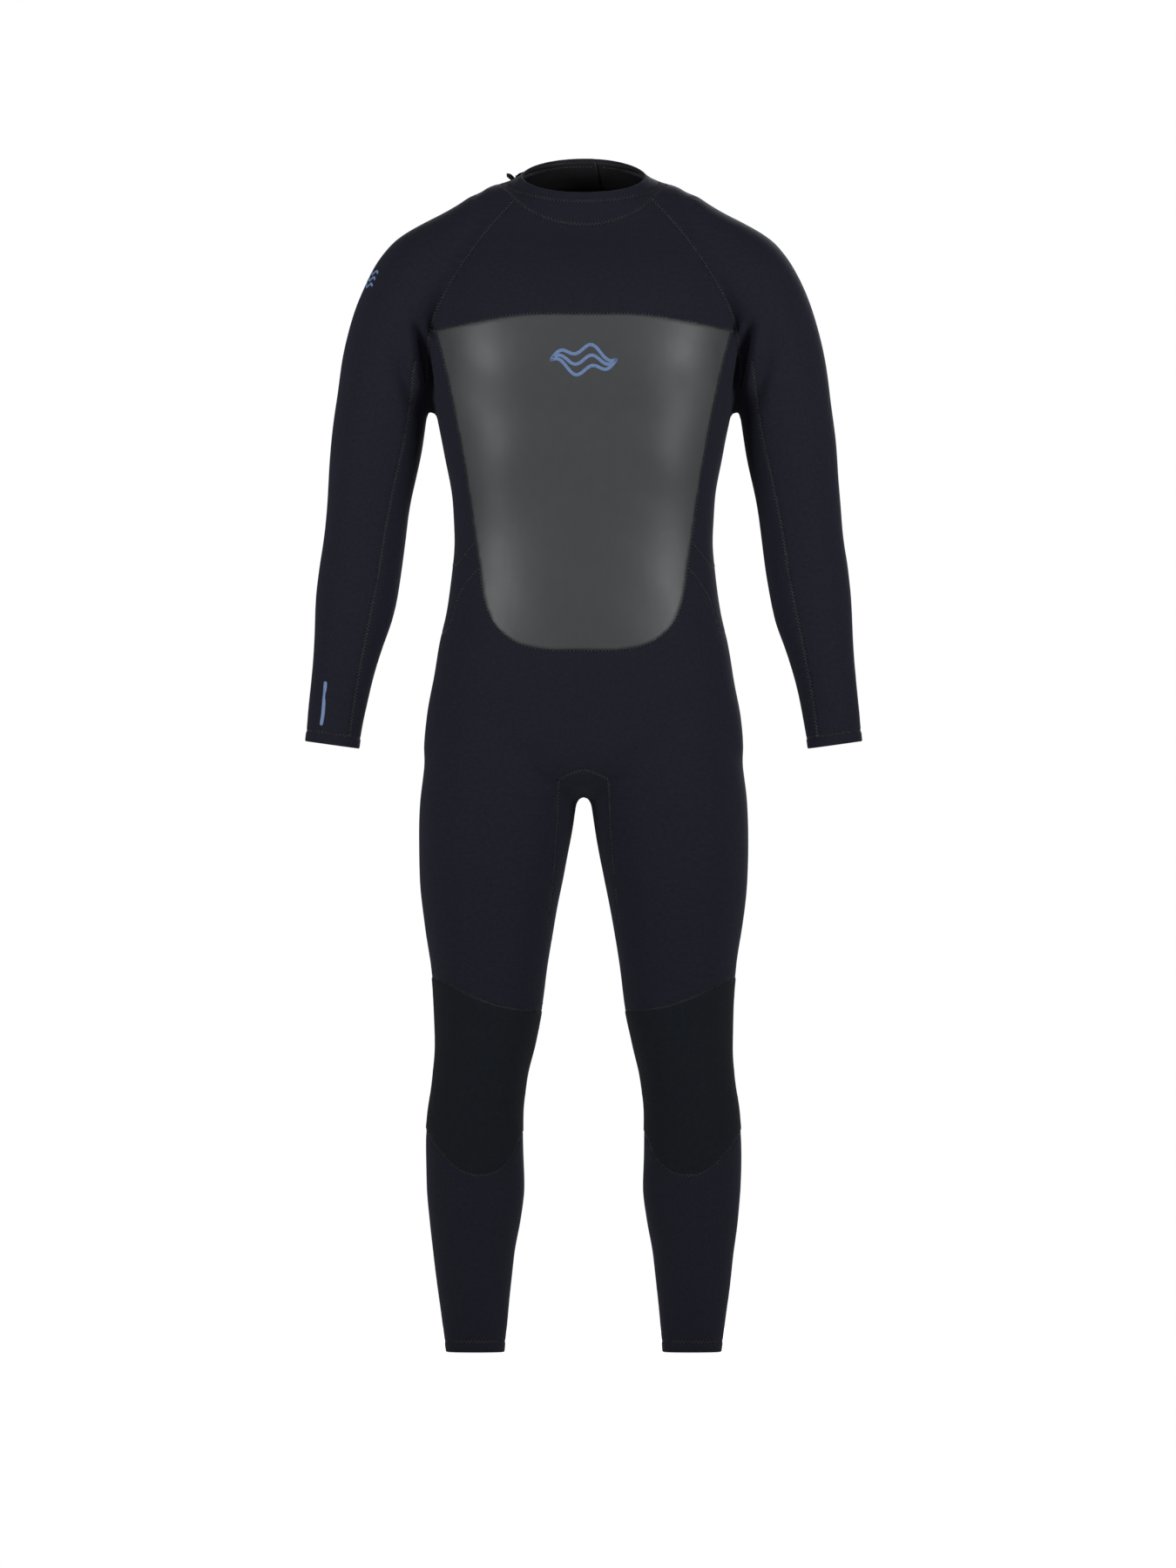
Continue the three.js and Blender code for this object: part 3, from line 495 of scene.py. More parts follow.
def suit_lines():
    """Every line as (kind, side, points).

    sewn: a seam between two panels. plain: a parting where the suit bends, which doesn't show. edge: a cut edge.
    drawn: stitching across one panel. slit: the shallow line of the lap in the back of the collar.
    """
    lines = []

    def one(kind, side, points):
        lines.append((kind, side, np.array(points, float)))

    def pair(kind, side, points, tail=()):
        line = curve(points)
        if len(tail):
            line = np.vstack([line, tail])
        one(kind, side, line)
        one(kind, side, line * [-1, 1])

    for side, half, tail in ((FRONT, COLLAR_FRONT, COLLAR_SIDE[1:]), (BACK, COLLAR_BACK, COLLAR_SIDE[1:]),
                             (FRONT, CHEST_TOP, ()), (FRONT, CHEST_SIDE, ()), (BACK, SEAT_TOP, ()),
                             (BOTH, GUSSET, ())):
        one("sewn", side, across_middle(half, tail))
    for side, points, tail in ((FRONT, RAGLAN_FRONT, RAGLAN_SIDE), (BACK, RAGLAN_BACK, RAGLAN_SIDE),
                               (BACK, BACK_SIDE, ()), (BACK, HIP_SIDE, ()),
                               (FRONT, WAIST_UPPER_FRONT, WAIST_UPPER_SIDE),
                               (FRONT, WAIST_LOWER_FRONT, WAIST_LOWER_SIDE),
                               (BACK, WAIST_UPPER_BACK, WAIST_UPPER_SIDE),
                               (BACK, WAIST_LOWER_BACK, WAIST_LOWER_SIDE)):
        pair("sewn", side, points, tail[1:])
    pair("plain", BOTH, [(-2, 667), (215, HIP[0][1] + 215 * HIP_LIFT)])
    pair("sewn", BOTH, INSEAM)
    pair("plain", BOTH, flat_line(past(*HIP), HIP[1], 68, 150))
    pair("sewn", BACK, flat_line(KNEE[0], KNEE[1], 100, 100))
    pair("sewn", BACK, flat_line(past(*KNEE), KNEE[1], 100, 100))
    pair("sewn", FRONT, PAD_TOP)
    pair("sewn", FRONT, PAD_BOTTOM)
    pair("sewn", BOTH, flat_line((130, HEM_HEIGHT), (0, -1), 60, 60))
    pair("plain", BOTH, flat_line(past(*SHOULDER), SHOULDER[1], 70, 75))
    pair("plain", BOTH, flat_line(past(ELBOW_PIVOT, ELBOW[1], -ELBOW_HALF), ELBOW[1], 66, 60))
    pair("plain", BOTH, flat_line(past(ELBOW_PIVOT, ELBOW[1], ELBOW_HALF), ELBOW[1], 60, 60))
    pair("sewn", BOTH, flat_line(past(CUFF_EDGE, CUFF_DOWN, -HEM_HEIGHT), CUFF_DOWN, 50, 50))
    pair("sewn", BOTH, UNDERARM)
    pair("drawn", FRONT, UNDERARM_UPPER)
    slot_low, slot_high = ZIP_LOW - SLOT_END, ZIP_HIGH + SLOT_END
    pair("edge", BACK, [(SLOT_HALF, slot_low), (SLOT_HALF, slot_high)])
    for z in (slot_low, slot_high):
        one("edge", BACK, [(-SLOT_HALF, z), (SLOT_HALF, z)])
    one("sewn", BACK, [(0, ZIP_HIGH + 2), (0, 1408)])
    one("sewn", BACK, [(0, ZIP_LOW - 2), (0, 838)])
    one("slit", BACK, [(14, 1409), (14, 1460)])
    return lines


COLLAR_LOW = 1360 * MM
CROSSING = 3             # mm by which the seams of the legs' sides cross what they meet
SIDE_OVERLAP = 6 * MM    # a front line runs this far round the side to meet its back line


def distance_to(line, co):
    """Signed distance in front view to a line, its gradient, and which points the line runs past."""
    line = run_on(line) * MM
    f = np.full(len(co), 1.0)
    gradient = np.zeros_like(co)
    low, high = line.min(0) - REACH, line.max(0) + REACH
    flat = co[:, [0, 2]]
    box = np.flatnonzero(((flat > low) & (flat < high)).all(1))
    p = flat[box]
    best, sign = np.full(len(box), 1.0), np.ones(len(box))
    side, beside = np.zeros((len(box), 2)), np.zeros(len(box), bool)
    for i in range(len(line) - 1):
        d = line[i + 1] - line[i]
        length = np.linalg.norm(d)
        d = d / length
        t = (p - line[i]) @ d
        square = np.array([-d[1], d[0]])
        apart = np.linalg.norm(p - line[i] - np.clip(t, 0, length)[:, None] * d, axis=1)
        closer = apart < best
        best[closer] = apart[closer]
        sign[closer] = np.where((p - line[i]) @ square >= 0, 1, -1)[closer]
        side[closer] = square
        ends = (t < 0) if i == 0 else np.zeros(len(t), bool)
        ends |= (t > length) if i == len(line) - 2 else False
        beside[closer] = ~ends[closer]
    f[box] = best * sign
    gradient[np.ix_(box, [0, 2])] = side
    near = np.zeros(len(co), bool)
    near[box] = beside & (best < REACH)
    return f, gradient, near


def cut_line(skin, number, field, grooved=True):
    """Cuts a line where field(skin.co) is 0, and beside it where its groove begins and ends."""
    for shift in (0, -1, 1) if grooved else (0,):
        f, gradient, near = field(skin.co)
        skin.cut(f + shift * GROOVE_HALF, gradient, near, number if shift == 0 else None)


def cut_suit_lines(skin, lines):
    """Cuts the pattern's lines; a line of one side is cut on that side of the suit only."""
    skin.rim = border_pairs(skin.faces, len(skin.co))
    for number, (kind, side, line) in enumerate(lines):
        def field(co, side=side, line=line):
            f, gradient, near = distance_to(line, co)
            return f, gradient, near & (side * (co[:, 1] - ORIGIN[1]) > -SIDE_OVERLAP if side else True)
        cut_line(skin, number, field, kind in ("sewn", "drawn"))


def leg_sides(co):
    """The seam down both sides of a leg, from the ankle hem up to where the thigh begins."""
    x, y, z = co.T
    top = past(*HIP)
    f = y - ORIGIN[1]
    limit = (top[1] + (np.abs(x) / MM - top[0]) * HIP_LIFT + CROSSING) * MM
    near = (np.abs(f) < REACH) & (z > (HEM_HEIGHT - CROSSING) * MM) & (z < limit)
    return f, np.tile([0.0, 1.0, 0.0], (len(f), 1)), near


def collar_row(co):
    """The row of stitching that runs round the collar below its rim."""
    f = (co - [0, 0, (RIM_HEIGHT - RIM_ROW) * MM]) @ RIM_UP
    near = (np.abs(f) < REACH) & (co[:, 2] > COLLAR_LOW)
    return f, np.tile(RIM_UP, (len(f), 1)), near


def edge_owners(faces, total):
    """Every edge that two faces share, as a sortable key and the two faces."""
    key = edge_key(corner_pairs(faces), total)
    owner = np.tile(np.arange(len(faces)), 3)
    order = np.argsort(key, kind="stable")
    key, owner = key[order], owner[order]
    twin = np.flatnonzero(key[:-1] == key[1:])
    return key[twin], owner[twin], owner[twin + 1]


def panel_numbers(skin, parting):
    """The number of the panel that each face belongs to: faces joined by edges that no parting line holds."""
    total = len(skin.co)
    key, a, b = edge_owners(skin.faces, total)
    lines = skin.lines[np.isin(skin.lines[:, 2], parting)]
    free = ~np.isin(key, lines[:, 0] * total + lines[:, 1])
    a, b = a[free], b[free]
    number = np.arange(len(skin.faces))
    while True:
        low = np.minimum(number[a], number[b])
        new = number.copy()
        np.minimum.at(new, number[a], low)
        np.minimum.at(new, number[b], low)
        while not (new[new] == new).all():
            new = new[new]
        if (new == number).all():
            return number
        number = new


SCRAP_ROUNDS = 8


def without_scraps(skin, number, named):
    """Gives the few faces shut in between crossing lines to the panel beside them."""
    _, a, b = edge_owners(skin.faces, len(skin.co))
    for _ in range(SCRAP_ROUNDS):
        loose = ~np.isin(number, named)
        for one, other in ((a, b), (b, a)):
            takes = loose[one] & ~loose[other]
            number[one[takes]] = number[other[takes]]
    return number


# ---- Build the skin ----
FOLD_BOW = 3.0                     # mm by which a fold bends
FOLD_FULL, FOLD_FADE = 0.28, 0.14  # shares of its length: full depth on each side of the middle, then fading
FOLD_RIM, RIM_AWAY = 0.38, 1.9     # the swelling beside it, by its depth, and how far out, by its half width
RIGHT_SHARE = 0.85                 # the folds on the wearer's right are this much as deep
CHEST_HALF = 178                   # mm, the bulges stay between the arms


def unevenness(x, z):
    """The slight unevenness of worn foam, in mm: broad waves and finer ones."""
    broad = 0.35 * np.sin(x / 23 + 1.3) * np.sin(z / 31 + 0.4)
    return broad + 0.25 * np.sin(x / 13 + z / 17) * np.cos(z / 41)


def fold_shape(x, z, start, end, half, bow):
    """A fold at each place: its section, from 1 to slightly below 0 at its swollen rims, and its taper."""
    length = np.linalg.norm(end - start)
    d = (end - start) / length
    along = (x - start[0]) * d[0] + (z - start[1]) * d[1]
    bend = bow * np.sin(np.pi * np.clip(along / length, 0, 1))
    away = (x - start[0]) * -d[1] + (z - start[1]) * d[0] - bend
    past_full = np.clip(np.abs(along - length / 2) - length * FOLD_FULL, 0, None)
    taper = np.exp(-past_full ** 2 / (length * FOLD_FADE) ** 2)
    valley = np.exp(-((away / half) ** 2))
    rims = FOLD_RIM * np.exp(-(((np.abs(away) - RIM_AWAY * half) / half) ** 2))
    return valley - rims, taper


def folded(co, normal):
    """How far each point goes out, or in (negative), for unevenness, soft folds and the chest's shape."""
    x, _, z = co.T / MM
    lift = unevenness(x, z)
    for index, ((x0, z0), (x1, z1), side, depth, half) in enumerate(FOLDS):
        facing = np.clip(side * normal[:, 1] * 2.5 + 0.5, 0, 1)
        for hand in (1, -1):
            bow = FOLD_BOW * hand * (1 if index % 2 else -1)
            start, end = np.array([hand * x0, z0]), np.array([hand * x1, z1])
            shape, taper = fold_shape(x, z, start, end, half, bow)
            lift -= (1.0 if hand > 0 else RIGHT_SHARE) * depth * shape * taper * facing
    for bx, bz, half_x, half_z, rise in BULGES:
        for hand in (1, -1) if bx else (1,):
            away = ((x - hand * bx) / half_x) ** 2 + ((z - bz) / half_z) ** 2
            lift += rise * np.exp(-away) * np.clip(-normal[:, 1] * 2, 0, 1) * (np.abs(x) < CHEST_HALF)
    return lift * MM


def shoulder_lift(co, normal):
    """How far the top of each shoulder rises, so that it runs straight from the collar to the sleeve."""
    middle, rise, inner, outer = SHOULDER_FILL
    away = np.abs(co[:, 0]) / MM - middle
    shape = np.exp(-((away / np.where(away < 0, inner, outer)) ** 2))
    faces_up = smoothstep((normal[:, 2] - 0.35) / 0.4)
    high = smoothstep((co[:, 2] - 1.33) / 0.04)
    return rise * MM * shape * faces_up * high


# Where the lofts' meetings are smoothed most, in mm: x, z, radius and share
SOFTENED = [(0, 675, 34, 1), (190, 1150, 30, 0.55), (150, 720, 60, 0.8), (200, 1360, 60, 0.8),
            (95, 1395, 30, 0.6)]


def softness(co):
    """How strongly each point is smoothed, from 0 to 1."""
    total = 0
    for x, z, radius, share in SOFTENED:
        away = np.hypot(np.abs(co[:, 0]) - x * MM, co[:, 2] - z * MM) / (radius * MM)
        total = total + share * np.exp(-(away**2))
    return np.clip(total, 0, 1)


# Which points belong to each open end, in metres
NECK_FROM, ANKLES_TO, WRISTS_FROM, WRISTS_TO = 1.37, 0.05, 0.24, 0.78


FIRST_ROUNDS, SOFT_ROUNDS = 6, 14    # of smoothing, all over and where the lofts meet


def make_skin():
    """The suit's outer surface, smoothed, folded, and trimmed at its five open ends."""
    co, faces = one_skin([torso_rings(), leg_rings(1), leg_rings(-1), sleeve_rings(1), sleeve_rings(-1)])
    co = relaxed(co + ORIGIN, faces, FIRST_ROUNDS)
    co[:, 2] += shoulder_lift(co, point_normals(co, faces))
    co = relaxed(co, faces, SOFT_ROUNDS, softness(co), keep=False)
    normal = point_normals(co, faces)
    skin = Skin(co + normal * folded(co, normal)[:, None], faces)
    trim(skin, (0, 0, (RIM_HEIGHT - RIM_ROUND) * MM), RIM_UP, lambda p: p[:, 2] > NECK_FROM)
    trim(skin, (0, 0, RIM_ROUND * MM), (0, 0, -1), lambda p: p[:, 2] < ANKLES_TO)
    x, z = past(CUFF_EDGE, CUFF_DOWN, -RIM_ROUND)
    for hand in (1, -1):
        trim(skin, (hand * x * MM, 0, z * MM), (hand * CUFF_DOWN[0], 0, CUFF_DOWN[1]),
             lambda p, hand=hand: (hand * p[:, 0] > WRISTS_FROM) & (p[:, 2] < WRISTS_TO))
    return skin


# A point (x, z) that lies on each panel in front view, and the side it is seen from
PROBES = {
    "collar": (0, 1378, FRONT), "upper_chest_panel": (0, 1300, FRONT), "chest_panel": (0, 1050, FRONT),
    "abdomen_panel": (0, 780, FRONT), "seat_panel": (60, 780, BACK), "crotch_gusset": (6, 690, FRONT),
}
PAIR_PROBES = {
    "side_panel": (151, 1050, FRONT), "waist_band": (144, 940, FRONT), "back_panel": (60, 1150, BACK),
    "shoulder_section": (240, 1240, FRONT), "upper_sleeve": (275, 1085, FRONT),
    "elbow_section": (275, 990, FRONT), "forearm_outer_panel": (300, 850, FRONT),
    "forearm_inner_panel": (256, 840, FRONT), "wrist_hem": (303, 737, FRONT),
    "hip_section": (120, 650, FRONT), "inner_thigh_panel": (24, 620, FRONT), "thigh_panel": (110, 480, FRONT),
    "hamstring_panel": (110, 480, BACK), "knee_pad": (118, 340, FRONT), "knee_back_panel": (118, 340, BACK),
    "shin_panel": (130, 120, FRONT), "calf_panel": (130, 160, BACK), "ankle_hem": (130, 6, FRONT),
}
for name, (x, z, side) in PAIR_PROBES.items():
    PROBES[f"left_{name}"] = (x, z, side)
    PROBES[f"right_{name}"] = (-x, z, side)
PANELS = list(PROBES)
KNEE_PADS = ["left_knee_pad", "right_knee_pad"]
HEMS = ["left_wrist_hem", "right_wrist_hem", "left_ankle_hem", "right_ankle_hem"]
RAY_START = 0.5          # metres from the suit's middle, clear of the suit
NEAR_START = 0.1         # metres off the surface, for a ray square to it


def meet(tree, x, z, side):
    """Where a ray from one side meets the suit at (x, z) in mm, as (place, normal, face)."""
    start = Vector((x * MM, side * RAY_START, z * MM))
    place, normal, face, _ = tree.ray_cast(start, Vector((0, -side, 0)))
    return place, normal, face


def panel_of_faces(skin, kinds):
    """The place in PANELS of each face's panel, or -1 for what lies in the zip's slot."""
    number = panel_numbers(skin, np.flatnonzero(~np.isin(kinds, ["drawn", "slit"])))
    tree = BVHTree.FromPolygons(skin.co.tolist(), skin.faces.tolist())
    of_panel = {name: number[meet(tree, *probe)[2]] for name, probe in PROBES.items()}
    of_panel["slot"] = number[meet(tree, 0, (ZIP_LOW + ZIP_HIGH) / 2, BACK)[2]]
    shared = [name for name in of_panel if list(of_panel.values()).count(of_panel[name]) > 1]
    assert not shared, f"panels run together: {shared}"
    number = without_scraps(skin, number, list(of_panel.values()))
    panel = np.full(len(number), -1)
    for index, name in enumerate(PANELS):
        panel[number == of_panel[name]] = index
    return panel


def shown_edges(skin, panel, kinds):
    """The cut edges that show, as rows of point, point, line, panel, and 1 where the line is the slit."""
    key, a, b = edge_owners(skin.faces, len(skin.co))
    line_key = skin.lines[:, 0] * len(skin.co) + skin.lines[:, 1]
    at = np.minimum(np.searchsorted(key, line_key), len(key) - 1)
    kind = kinds[skin.lines[:, 2]]
    parts = panel[a[at]] != panel[b[at]]
    shown = (key[at] == line_key) & np.where(kind == "sewn", parts, np.isin(kind, ["drawn", "slit"]))
    beside = np.minimum(panel[a[at]], panel[b[at]])
    return np.column_stack([skin.lines, beside, kind == "slit"])[shown]


def cut_panels(skin):
    """Cuts every line, and returns each face's place in PANELS and the edges that show."""
    lines = suit_lines()
    cut_suit_lines(skin, lines)
    cut_line(skin, len(lines), leg_sides)
    cut_line(skin, len(lines) + 1, collar_row)
    kinds = np.array([kind for kind, _, _ in lines] + ["sewn", "drawn"])
    panel = panel_of_faces(skin, kinds)
    edges = shown_edges(skin, panel, kinds)
    keep = panel >= 0
    new = np.full(len(skin.co), -1)
    used = np.unique(skin.faces[keep])
    new[used] = np.arange(len(used))
    edges[:, :2] = new[edges[:, :2]]
    skin.drop(~keep)
    skin.rim = border_pairs(skin.faces, len(skin.co))
    return panel[keep], edges


SEAM_STEPS = 5           # places on each edge of a seam from which the groove's depth is measured
GROOVE_POWER = 1.4       # above 1, the groove is narrower at its bottom


def relief(skin, panel, edges):
    """Sinks a groove along each seam, and lifts the knee pads and hems a little."""
    tree = KDTree(len(edges) * SEAM_STEPS)
    a, b = skin.co[edges[:, 0]], skin.co[edges[:, 1]]
    for step in range(SEAM_STEPS):
        for index, point in enumerate(a + (b - a) * step / SEAM_STEPS):
            tree.insert(point, index * SEAM_STEPS + step)
    tree.balance()
    away = np.array([tree.find(point)[2] for point in skin.co])
    groove = np.clip(1 - away / GROOVE_HALF, 0, 1) ** GROOVE_POWER
    lift = -GROOVE_DEPTH * groove
    for names, raised in ((KNEE_PADS, PAD_RAISE), (HEMS, HEM_RAISE)):
        inside = np.zeros(len(skin.co), bool)
        inside[skin.faces[np.isin(panel, [PANELS.index(n) for n in names])].ravel()] = True
        lift += np.where(inside, raised * smoothstep(away / RAISE_STEP), 0)
    skin.co = skin.co + skin.normal * lift[:, None]
    skin.normal = point_normals(skin.co, skin.faces)
    return groove


# ---- Which body each panel rides on ----
GROUPS = {"shoulder_section": "shoulder", "upper_sleeve": "upper_arm", "elbow_section": "elbow",
          "forearm_outer_panel": "forearm", "forearm_inner_panel": "forearm", "wrist_hem": "forearm",
          "hip_section": "hip", "inner_thigh_panel": "hip", "thigh_panel": "knee", "hamstring_panel": "knee",
          "knee_pad": "knee", "knee_back_panel": "knee", "shin_panel": "knee", "calf_panel": "knee",
          "ankle_hem": "shin"}
# The two bodies of each group that bends, and where it bends
BLENDS = {"shoulder": ("torso", "upper_arm", SHOULDER), "elbow": ("upper_arm", "forearm", ELBOW),
          "hip": ("torso", "thigh", HIP), "knee": ("thigh", "shin", KNEE)}


def group_of(panel):
    """The group that a panel moves with, such as torso or left_knee."""
    side, _, plain = panel.partition("_")
    return f"{side}_{GROUPS[plain]}" if side in ("left", "right") and plain in GROUPS else "torso"


def attach(piece, group):
    """The piece rides on its group's body; a piece of the tab or of a group that bends is only baked in place."""
    side, _, plain = group.partition("_")
    if group == "tab":
        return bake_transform(piece)
    if plain not in BLENDS:
        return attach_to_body(piece, group)
    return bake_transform(piece)


# ---- Meshes ----
def add_piece(name, co, faces, materials, corner_normals=None, uv=None, slots=None):
    """A smooth-shaded mesh of triangles, in the scene."""
    mesh = bpy.data.meshes.new(name)
    mesh.vertices.add(len(co))
    mesh.vertices.foreach_set("co", np.asarray(co, np.float32).ravel())
    mesh.loops.add(3 * len(faces))
    mesh.loops.foreach_set("vertex_index", np.asarray(faces, np.int32).ravel())
    mesh.polygons.add(len(faces))
    mesh.polygons.foreach_set("loop_start", np.arange(len(faces), dtype=np.int32) * 3)
    mesh.update(calc_edges=True)
    mesh.polygons.foreach_set("use_smooth", np.full(len(faces), True))
    for made in materials:
        mesh.materials.append(made)
    if slots is not None:
        mesh.polygons.foreach_set("material_index", np.asarray(slots, np.int32))
    if uv is not None:
        mesh.uv_layers.new(name="weave").data.foreach_set("uv", np.asarray(uv, np.float32).ravel())
    if corner_normals is not None:
        mesh.normals_split_custom_set(np.asarray(corner_normals, np.float32).reshape(-1, 3).tolist())
    piece = bpy.data.objects.new(name, mesh)
    bpy.context.scene.collection.objects.link(piece)
    return piece


# For the knit, in metres: x of a limb's middle at a height, its lean per metre, and the radii
SLEEVE_TOP, SLEEVE_MIDDLE, SLEEVE_LEAN = 1.19, 0.225, 0.168
LEG_FOOT_MIDDLE, LEG_LEAN = 0.13, 0.04
SLEEVE_RADIUS, LEG_RADIUS, TORSO_RADIUS = 0.055, 0.07, 0.15


def weave_uv(corners, group):
    """Metres round and along the cloth at each face's corners, for the knit."""
    x, y, z = corners[..., 0], corners[..., 1], corners[..., 2]
    limb = group.partition("_")[2]
    hand = -1 if group.startswith("right") else 1
    if limb in ("shoulder", "upper_arm", "elbow", "forearm"):
        middle, radius = hand * (SLEEVE_MIDDLE + (SLEEVE_TOP - z) * SLEEVE_LEAN), SLEEVE_RADIUS
    elif limb in ("hip", "knee", "shin"):
        middle, radius = hand * (LEG_FOOT_MIDDLE - LEG_LEAN * z), LEG_RADIUS
    else:
        middle, radius = 0 * z, TORSO_RADIUS
    turn = np.arctan2(x - middle, -y)
    turn = turn[:, :1] + (turn - turn[:, :1] + math.pi) % (2 * math.pi) - math.pi
    return np.stack([turn * radius, z], -1)


LIP_TURNS = (30, 60, 90, 120, 150)   # degrees round a rounded lip


def rounded_lip(top, low, normal, border):
    """The lip of an open end: its own points, its faces from outside to lining, and their corner normals."""
    count = len(top)
    a, b = border.T
    sideways = np.cross(top[b] - top[a], normal[a])
    out = np.zeros_like(top)
    np.add.at(out, a, sideways)
    np.add.at(out, b, sideways)
    lip = np.unique(border)
    out[lip] = unit(out[lip])
    place = np.full(count, -1)
    place[lip] = np.arange(len(lip))
    points, faces, corner = [], [], []
    before, before_normal = np.arange(count), normal
    for index, turn in enumerate((*LIP_TURNS, 180)):
        c, s = math.cos(math.radians(turn)), math.sin(math.radians(turn))
        ring_normal = normal * c + out * s
        if turn == 180:
            ring = np.arange(count) + count
        else:
            ring = 2 * count + index * len(lip) + place
            points.append((top[lip] + low[lip]) / 2 + ring_normal[lip] * WALL / 2)
        faces += strip(before, ring, a, b)
        corner += strip(before_normal, ring_normal, a, b)
        before, before_normal = ring, ring_normal
    return points, faces, corner


OUTSIDE, INSIDE, CUT_EDGE = 0, 1, 2  # the order of a panel's materials


def make_panel(skin, panel, name, materials, groove):
    """One panel with its outer face, lining and cut edges; an open end gets a rounded lip."""
    group = group_of(name)
    used, outer = np.unique(skin.faces[panel == PANELS.index(name)], return_inverse=True)
    outer = outer.reshape(-1, 3)
    count, total = len(used), len(skin.co)
    top, normal = skin.co[used], skin.normal[used]
    low = top - normal * WALL
    border = border_pairs(outer, count)
    is_open = np.isin(edge_key(used[border], total), edge_key(skin.rim, total))
    a, b = border[~is_open].T
    edge_out = unit(np.cross(top[b] - top[a], normal[a]), FINE)
    flat = np.repeat(edge_out[:, None, :], 3, 1)
    points = [top, low]
    faces = [outer, outer[:, ::-1] + count, *strip(np.arange(count), np.arange(count) + count, a, b)]
    corner = [normal[outer], -normal[outer[:, ::-1]], flat, flat]
    if is_open.any():
        lip_points, lip_faces, lip_corner = rounded_lip(top, low, normal, border[is_open])
        points += lip_points
        faces += lip_faces
        corner += lip_corner
    kinds = [OUTSIDE, INSIDE, CUT_EDGE, CUT_EDGE] + [OUTSIDE] * (len(faces) - 4)
    slots = np.repeat(kinds, [len(part) for part in faces])
    co, faces = np.vstack(points), np.vstack(faces)
    piece = add_piece(f"{name}_fabric", co, faces, materials, np.concatenate(corner),
                      weave_uv(co[faces], group), slots)
    # The groove's depth at each point, kept for the materials' painted shade in the seams
    seam_shade = np.zeros(len(co))
    seam_shade[:count] = groove[used]
    piece.data.attributes.new("seam_shade", "FLOAT", "POINT").data.foreach_set("value", seam_shade.astype(np.float32))
    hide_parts(name)
    return attach(piece, group)


# ---- Sewing ----
def chains(edges):
    """The edges (pairs of points) joined into ordered runs of points."""
    beside = {}
    for a, b in edges:
        beside.setdefault(a, []).append(b)
        beside.setdefault(b, []).append(a)
    found, seen = [], set()
    for start in sorted(beside, key=lambda v: (len(beside[v]) != 1, v)):
        if start in seen:
            continue
        run, at = [start], start
        seen.add(start)
        while True:
            ahead = [v for v in beside[at] if v not in seen]
            if not ahead:
                break
            at = ahead[0]
            seen.add(at)
            run.append(at)
        if len(run) > 2 and run[0] in beside[run[-1]]:
            run.append(run[0])
        if len(run) > 1:
            found.append(run)
    return found


def spaced(points, values, pitch):
    """Points at an even pitch along a run, with the values (such as normals) that go with them."""
    t = lengths_along(points)
    at = np.arange(pitch / 2, t[-1], pitch)
    where = np.stack([np.interp(at, t, points[:, k]) for k in range(3)], 1)
    value = np.stack([np.interp(at, t, values[:, k]) for k in range(values.shape[1])], 1)
    return where, value


def eased(points, rounds=3):
    """A run of points with its small steps smoothed out."""
    points = points.copy()
    for _ in range(rounds):
        points[1:-1] = points[1:-1] * 0.5 + (points[:-2] + points[2:]) * 0.25
    return points


# A stitch's fullness: share of its length, radius by the thread's, lift over the cloth by the thread's radius
SPINDLE = ((0.16, 0.85, 0.3), (0.5, 1.0, 0.75), (0.84, 0.85, 0.3))
SUNK = 0.6               # how far a stitch's ends go into the cloth, by its radius


def stitches(starts, ends, normals, radius, sag):
    """Short threads from start to end, each a spindle that is fullest in the middle, as (points, faces)."""
    along = ends - starts
    side = unit(np.cross(along, normals), TINY)
    points = [starts - normals * radius * SUNK]
    for t, size, lift in SPINDLE:
        middle = starts + along * t + normals * (radius * lift - sag * 4 * t * (1 - t))
        for turn in range(4):
            c, s = math.cos(turn * math.pi / 2), math.sin(turn * math.pi / 2)
            points.append(middle + (side * c + normals * s) * radius * size)
    points.append(ends - normals * radius * SUNK)
    points = np.stack(points, 1)
    shape = []
    for turn in range(4):
        ahead = (turn + 1) % 4
        shape.append((0, 1 + ahead, 1 + turn))
        shape.append((13, 9 + turn, 9 + ahead))
        for ring in (1, 5):
            shape.append((ring + turn, ring + ahead, ring + 4 + ahead))
            shape.append((ring + turn, ring + 4 + ahead, ring + 4 + turn))
    faces = np.array(shape)[None] + (np.arange(len(points)) * points.shape[1])[:, None, None]
    return points.reshape(-1, 3), faces.reshape(-1, 3)


STITCH_PITCH = 2.1 * MM
STITCH_HALF = 2.2 * MM
STITCH_SAG = 0.75 * MM   # how far a stitch dips into its seam
STITCH_SLANT = 0.42      # by the pitch, to either side
STITCH_RUN = 0.36        # half the length of a running stitch, by the pitch
THREAD = 0.3 * MM


def seam_stitches(co, normal, edges):
    """Slanted stitches across every seam, as (group, starts, ends, normals)."""
    made = []
    for line in np.unique(edges[:, 2]):
        for panel in np.unique(edges[edges[:, 2] == line, 3]):
            chosen = edges[(edges[:, 2] == line) & (edges[:, 3] == panel) & (edges[:, 4] == 0)]
            for run in chains(chosen[:, :2].tolist()):
                if len(run) < 4:
                    continue
                points, normals = spaced(eased(co[run]), normal[run], STITCH_PITCH)
                if len(points) < 3:
                    continue
                along = unit(np.gradient(points, axis=0))
                side = np.cross(along, normals)
                turns = np.where(np.arange(len(points)) % 2, STITCH_SLANT, -STITCH_SLANT)
                slant = along * STITCH_PITCH * turns[:, None]
                up = normals * GROOVE_DEPTH
                made.append((group_of(PANELS[panel]), points - side * STITCH_HALF - slant + up,
                             points + side * STITCH_HALF + slant + up, normals, STITCH_SAG))
    return made


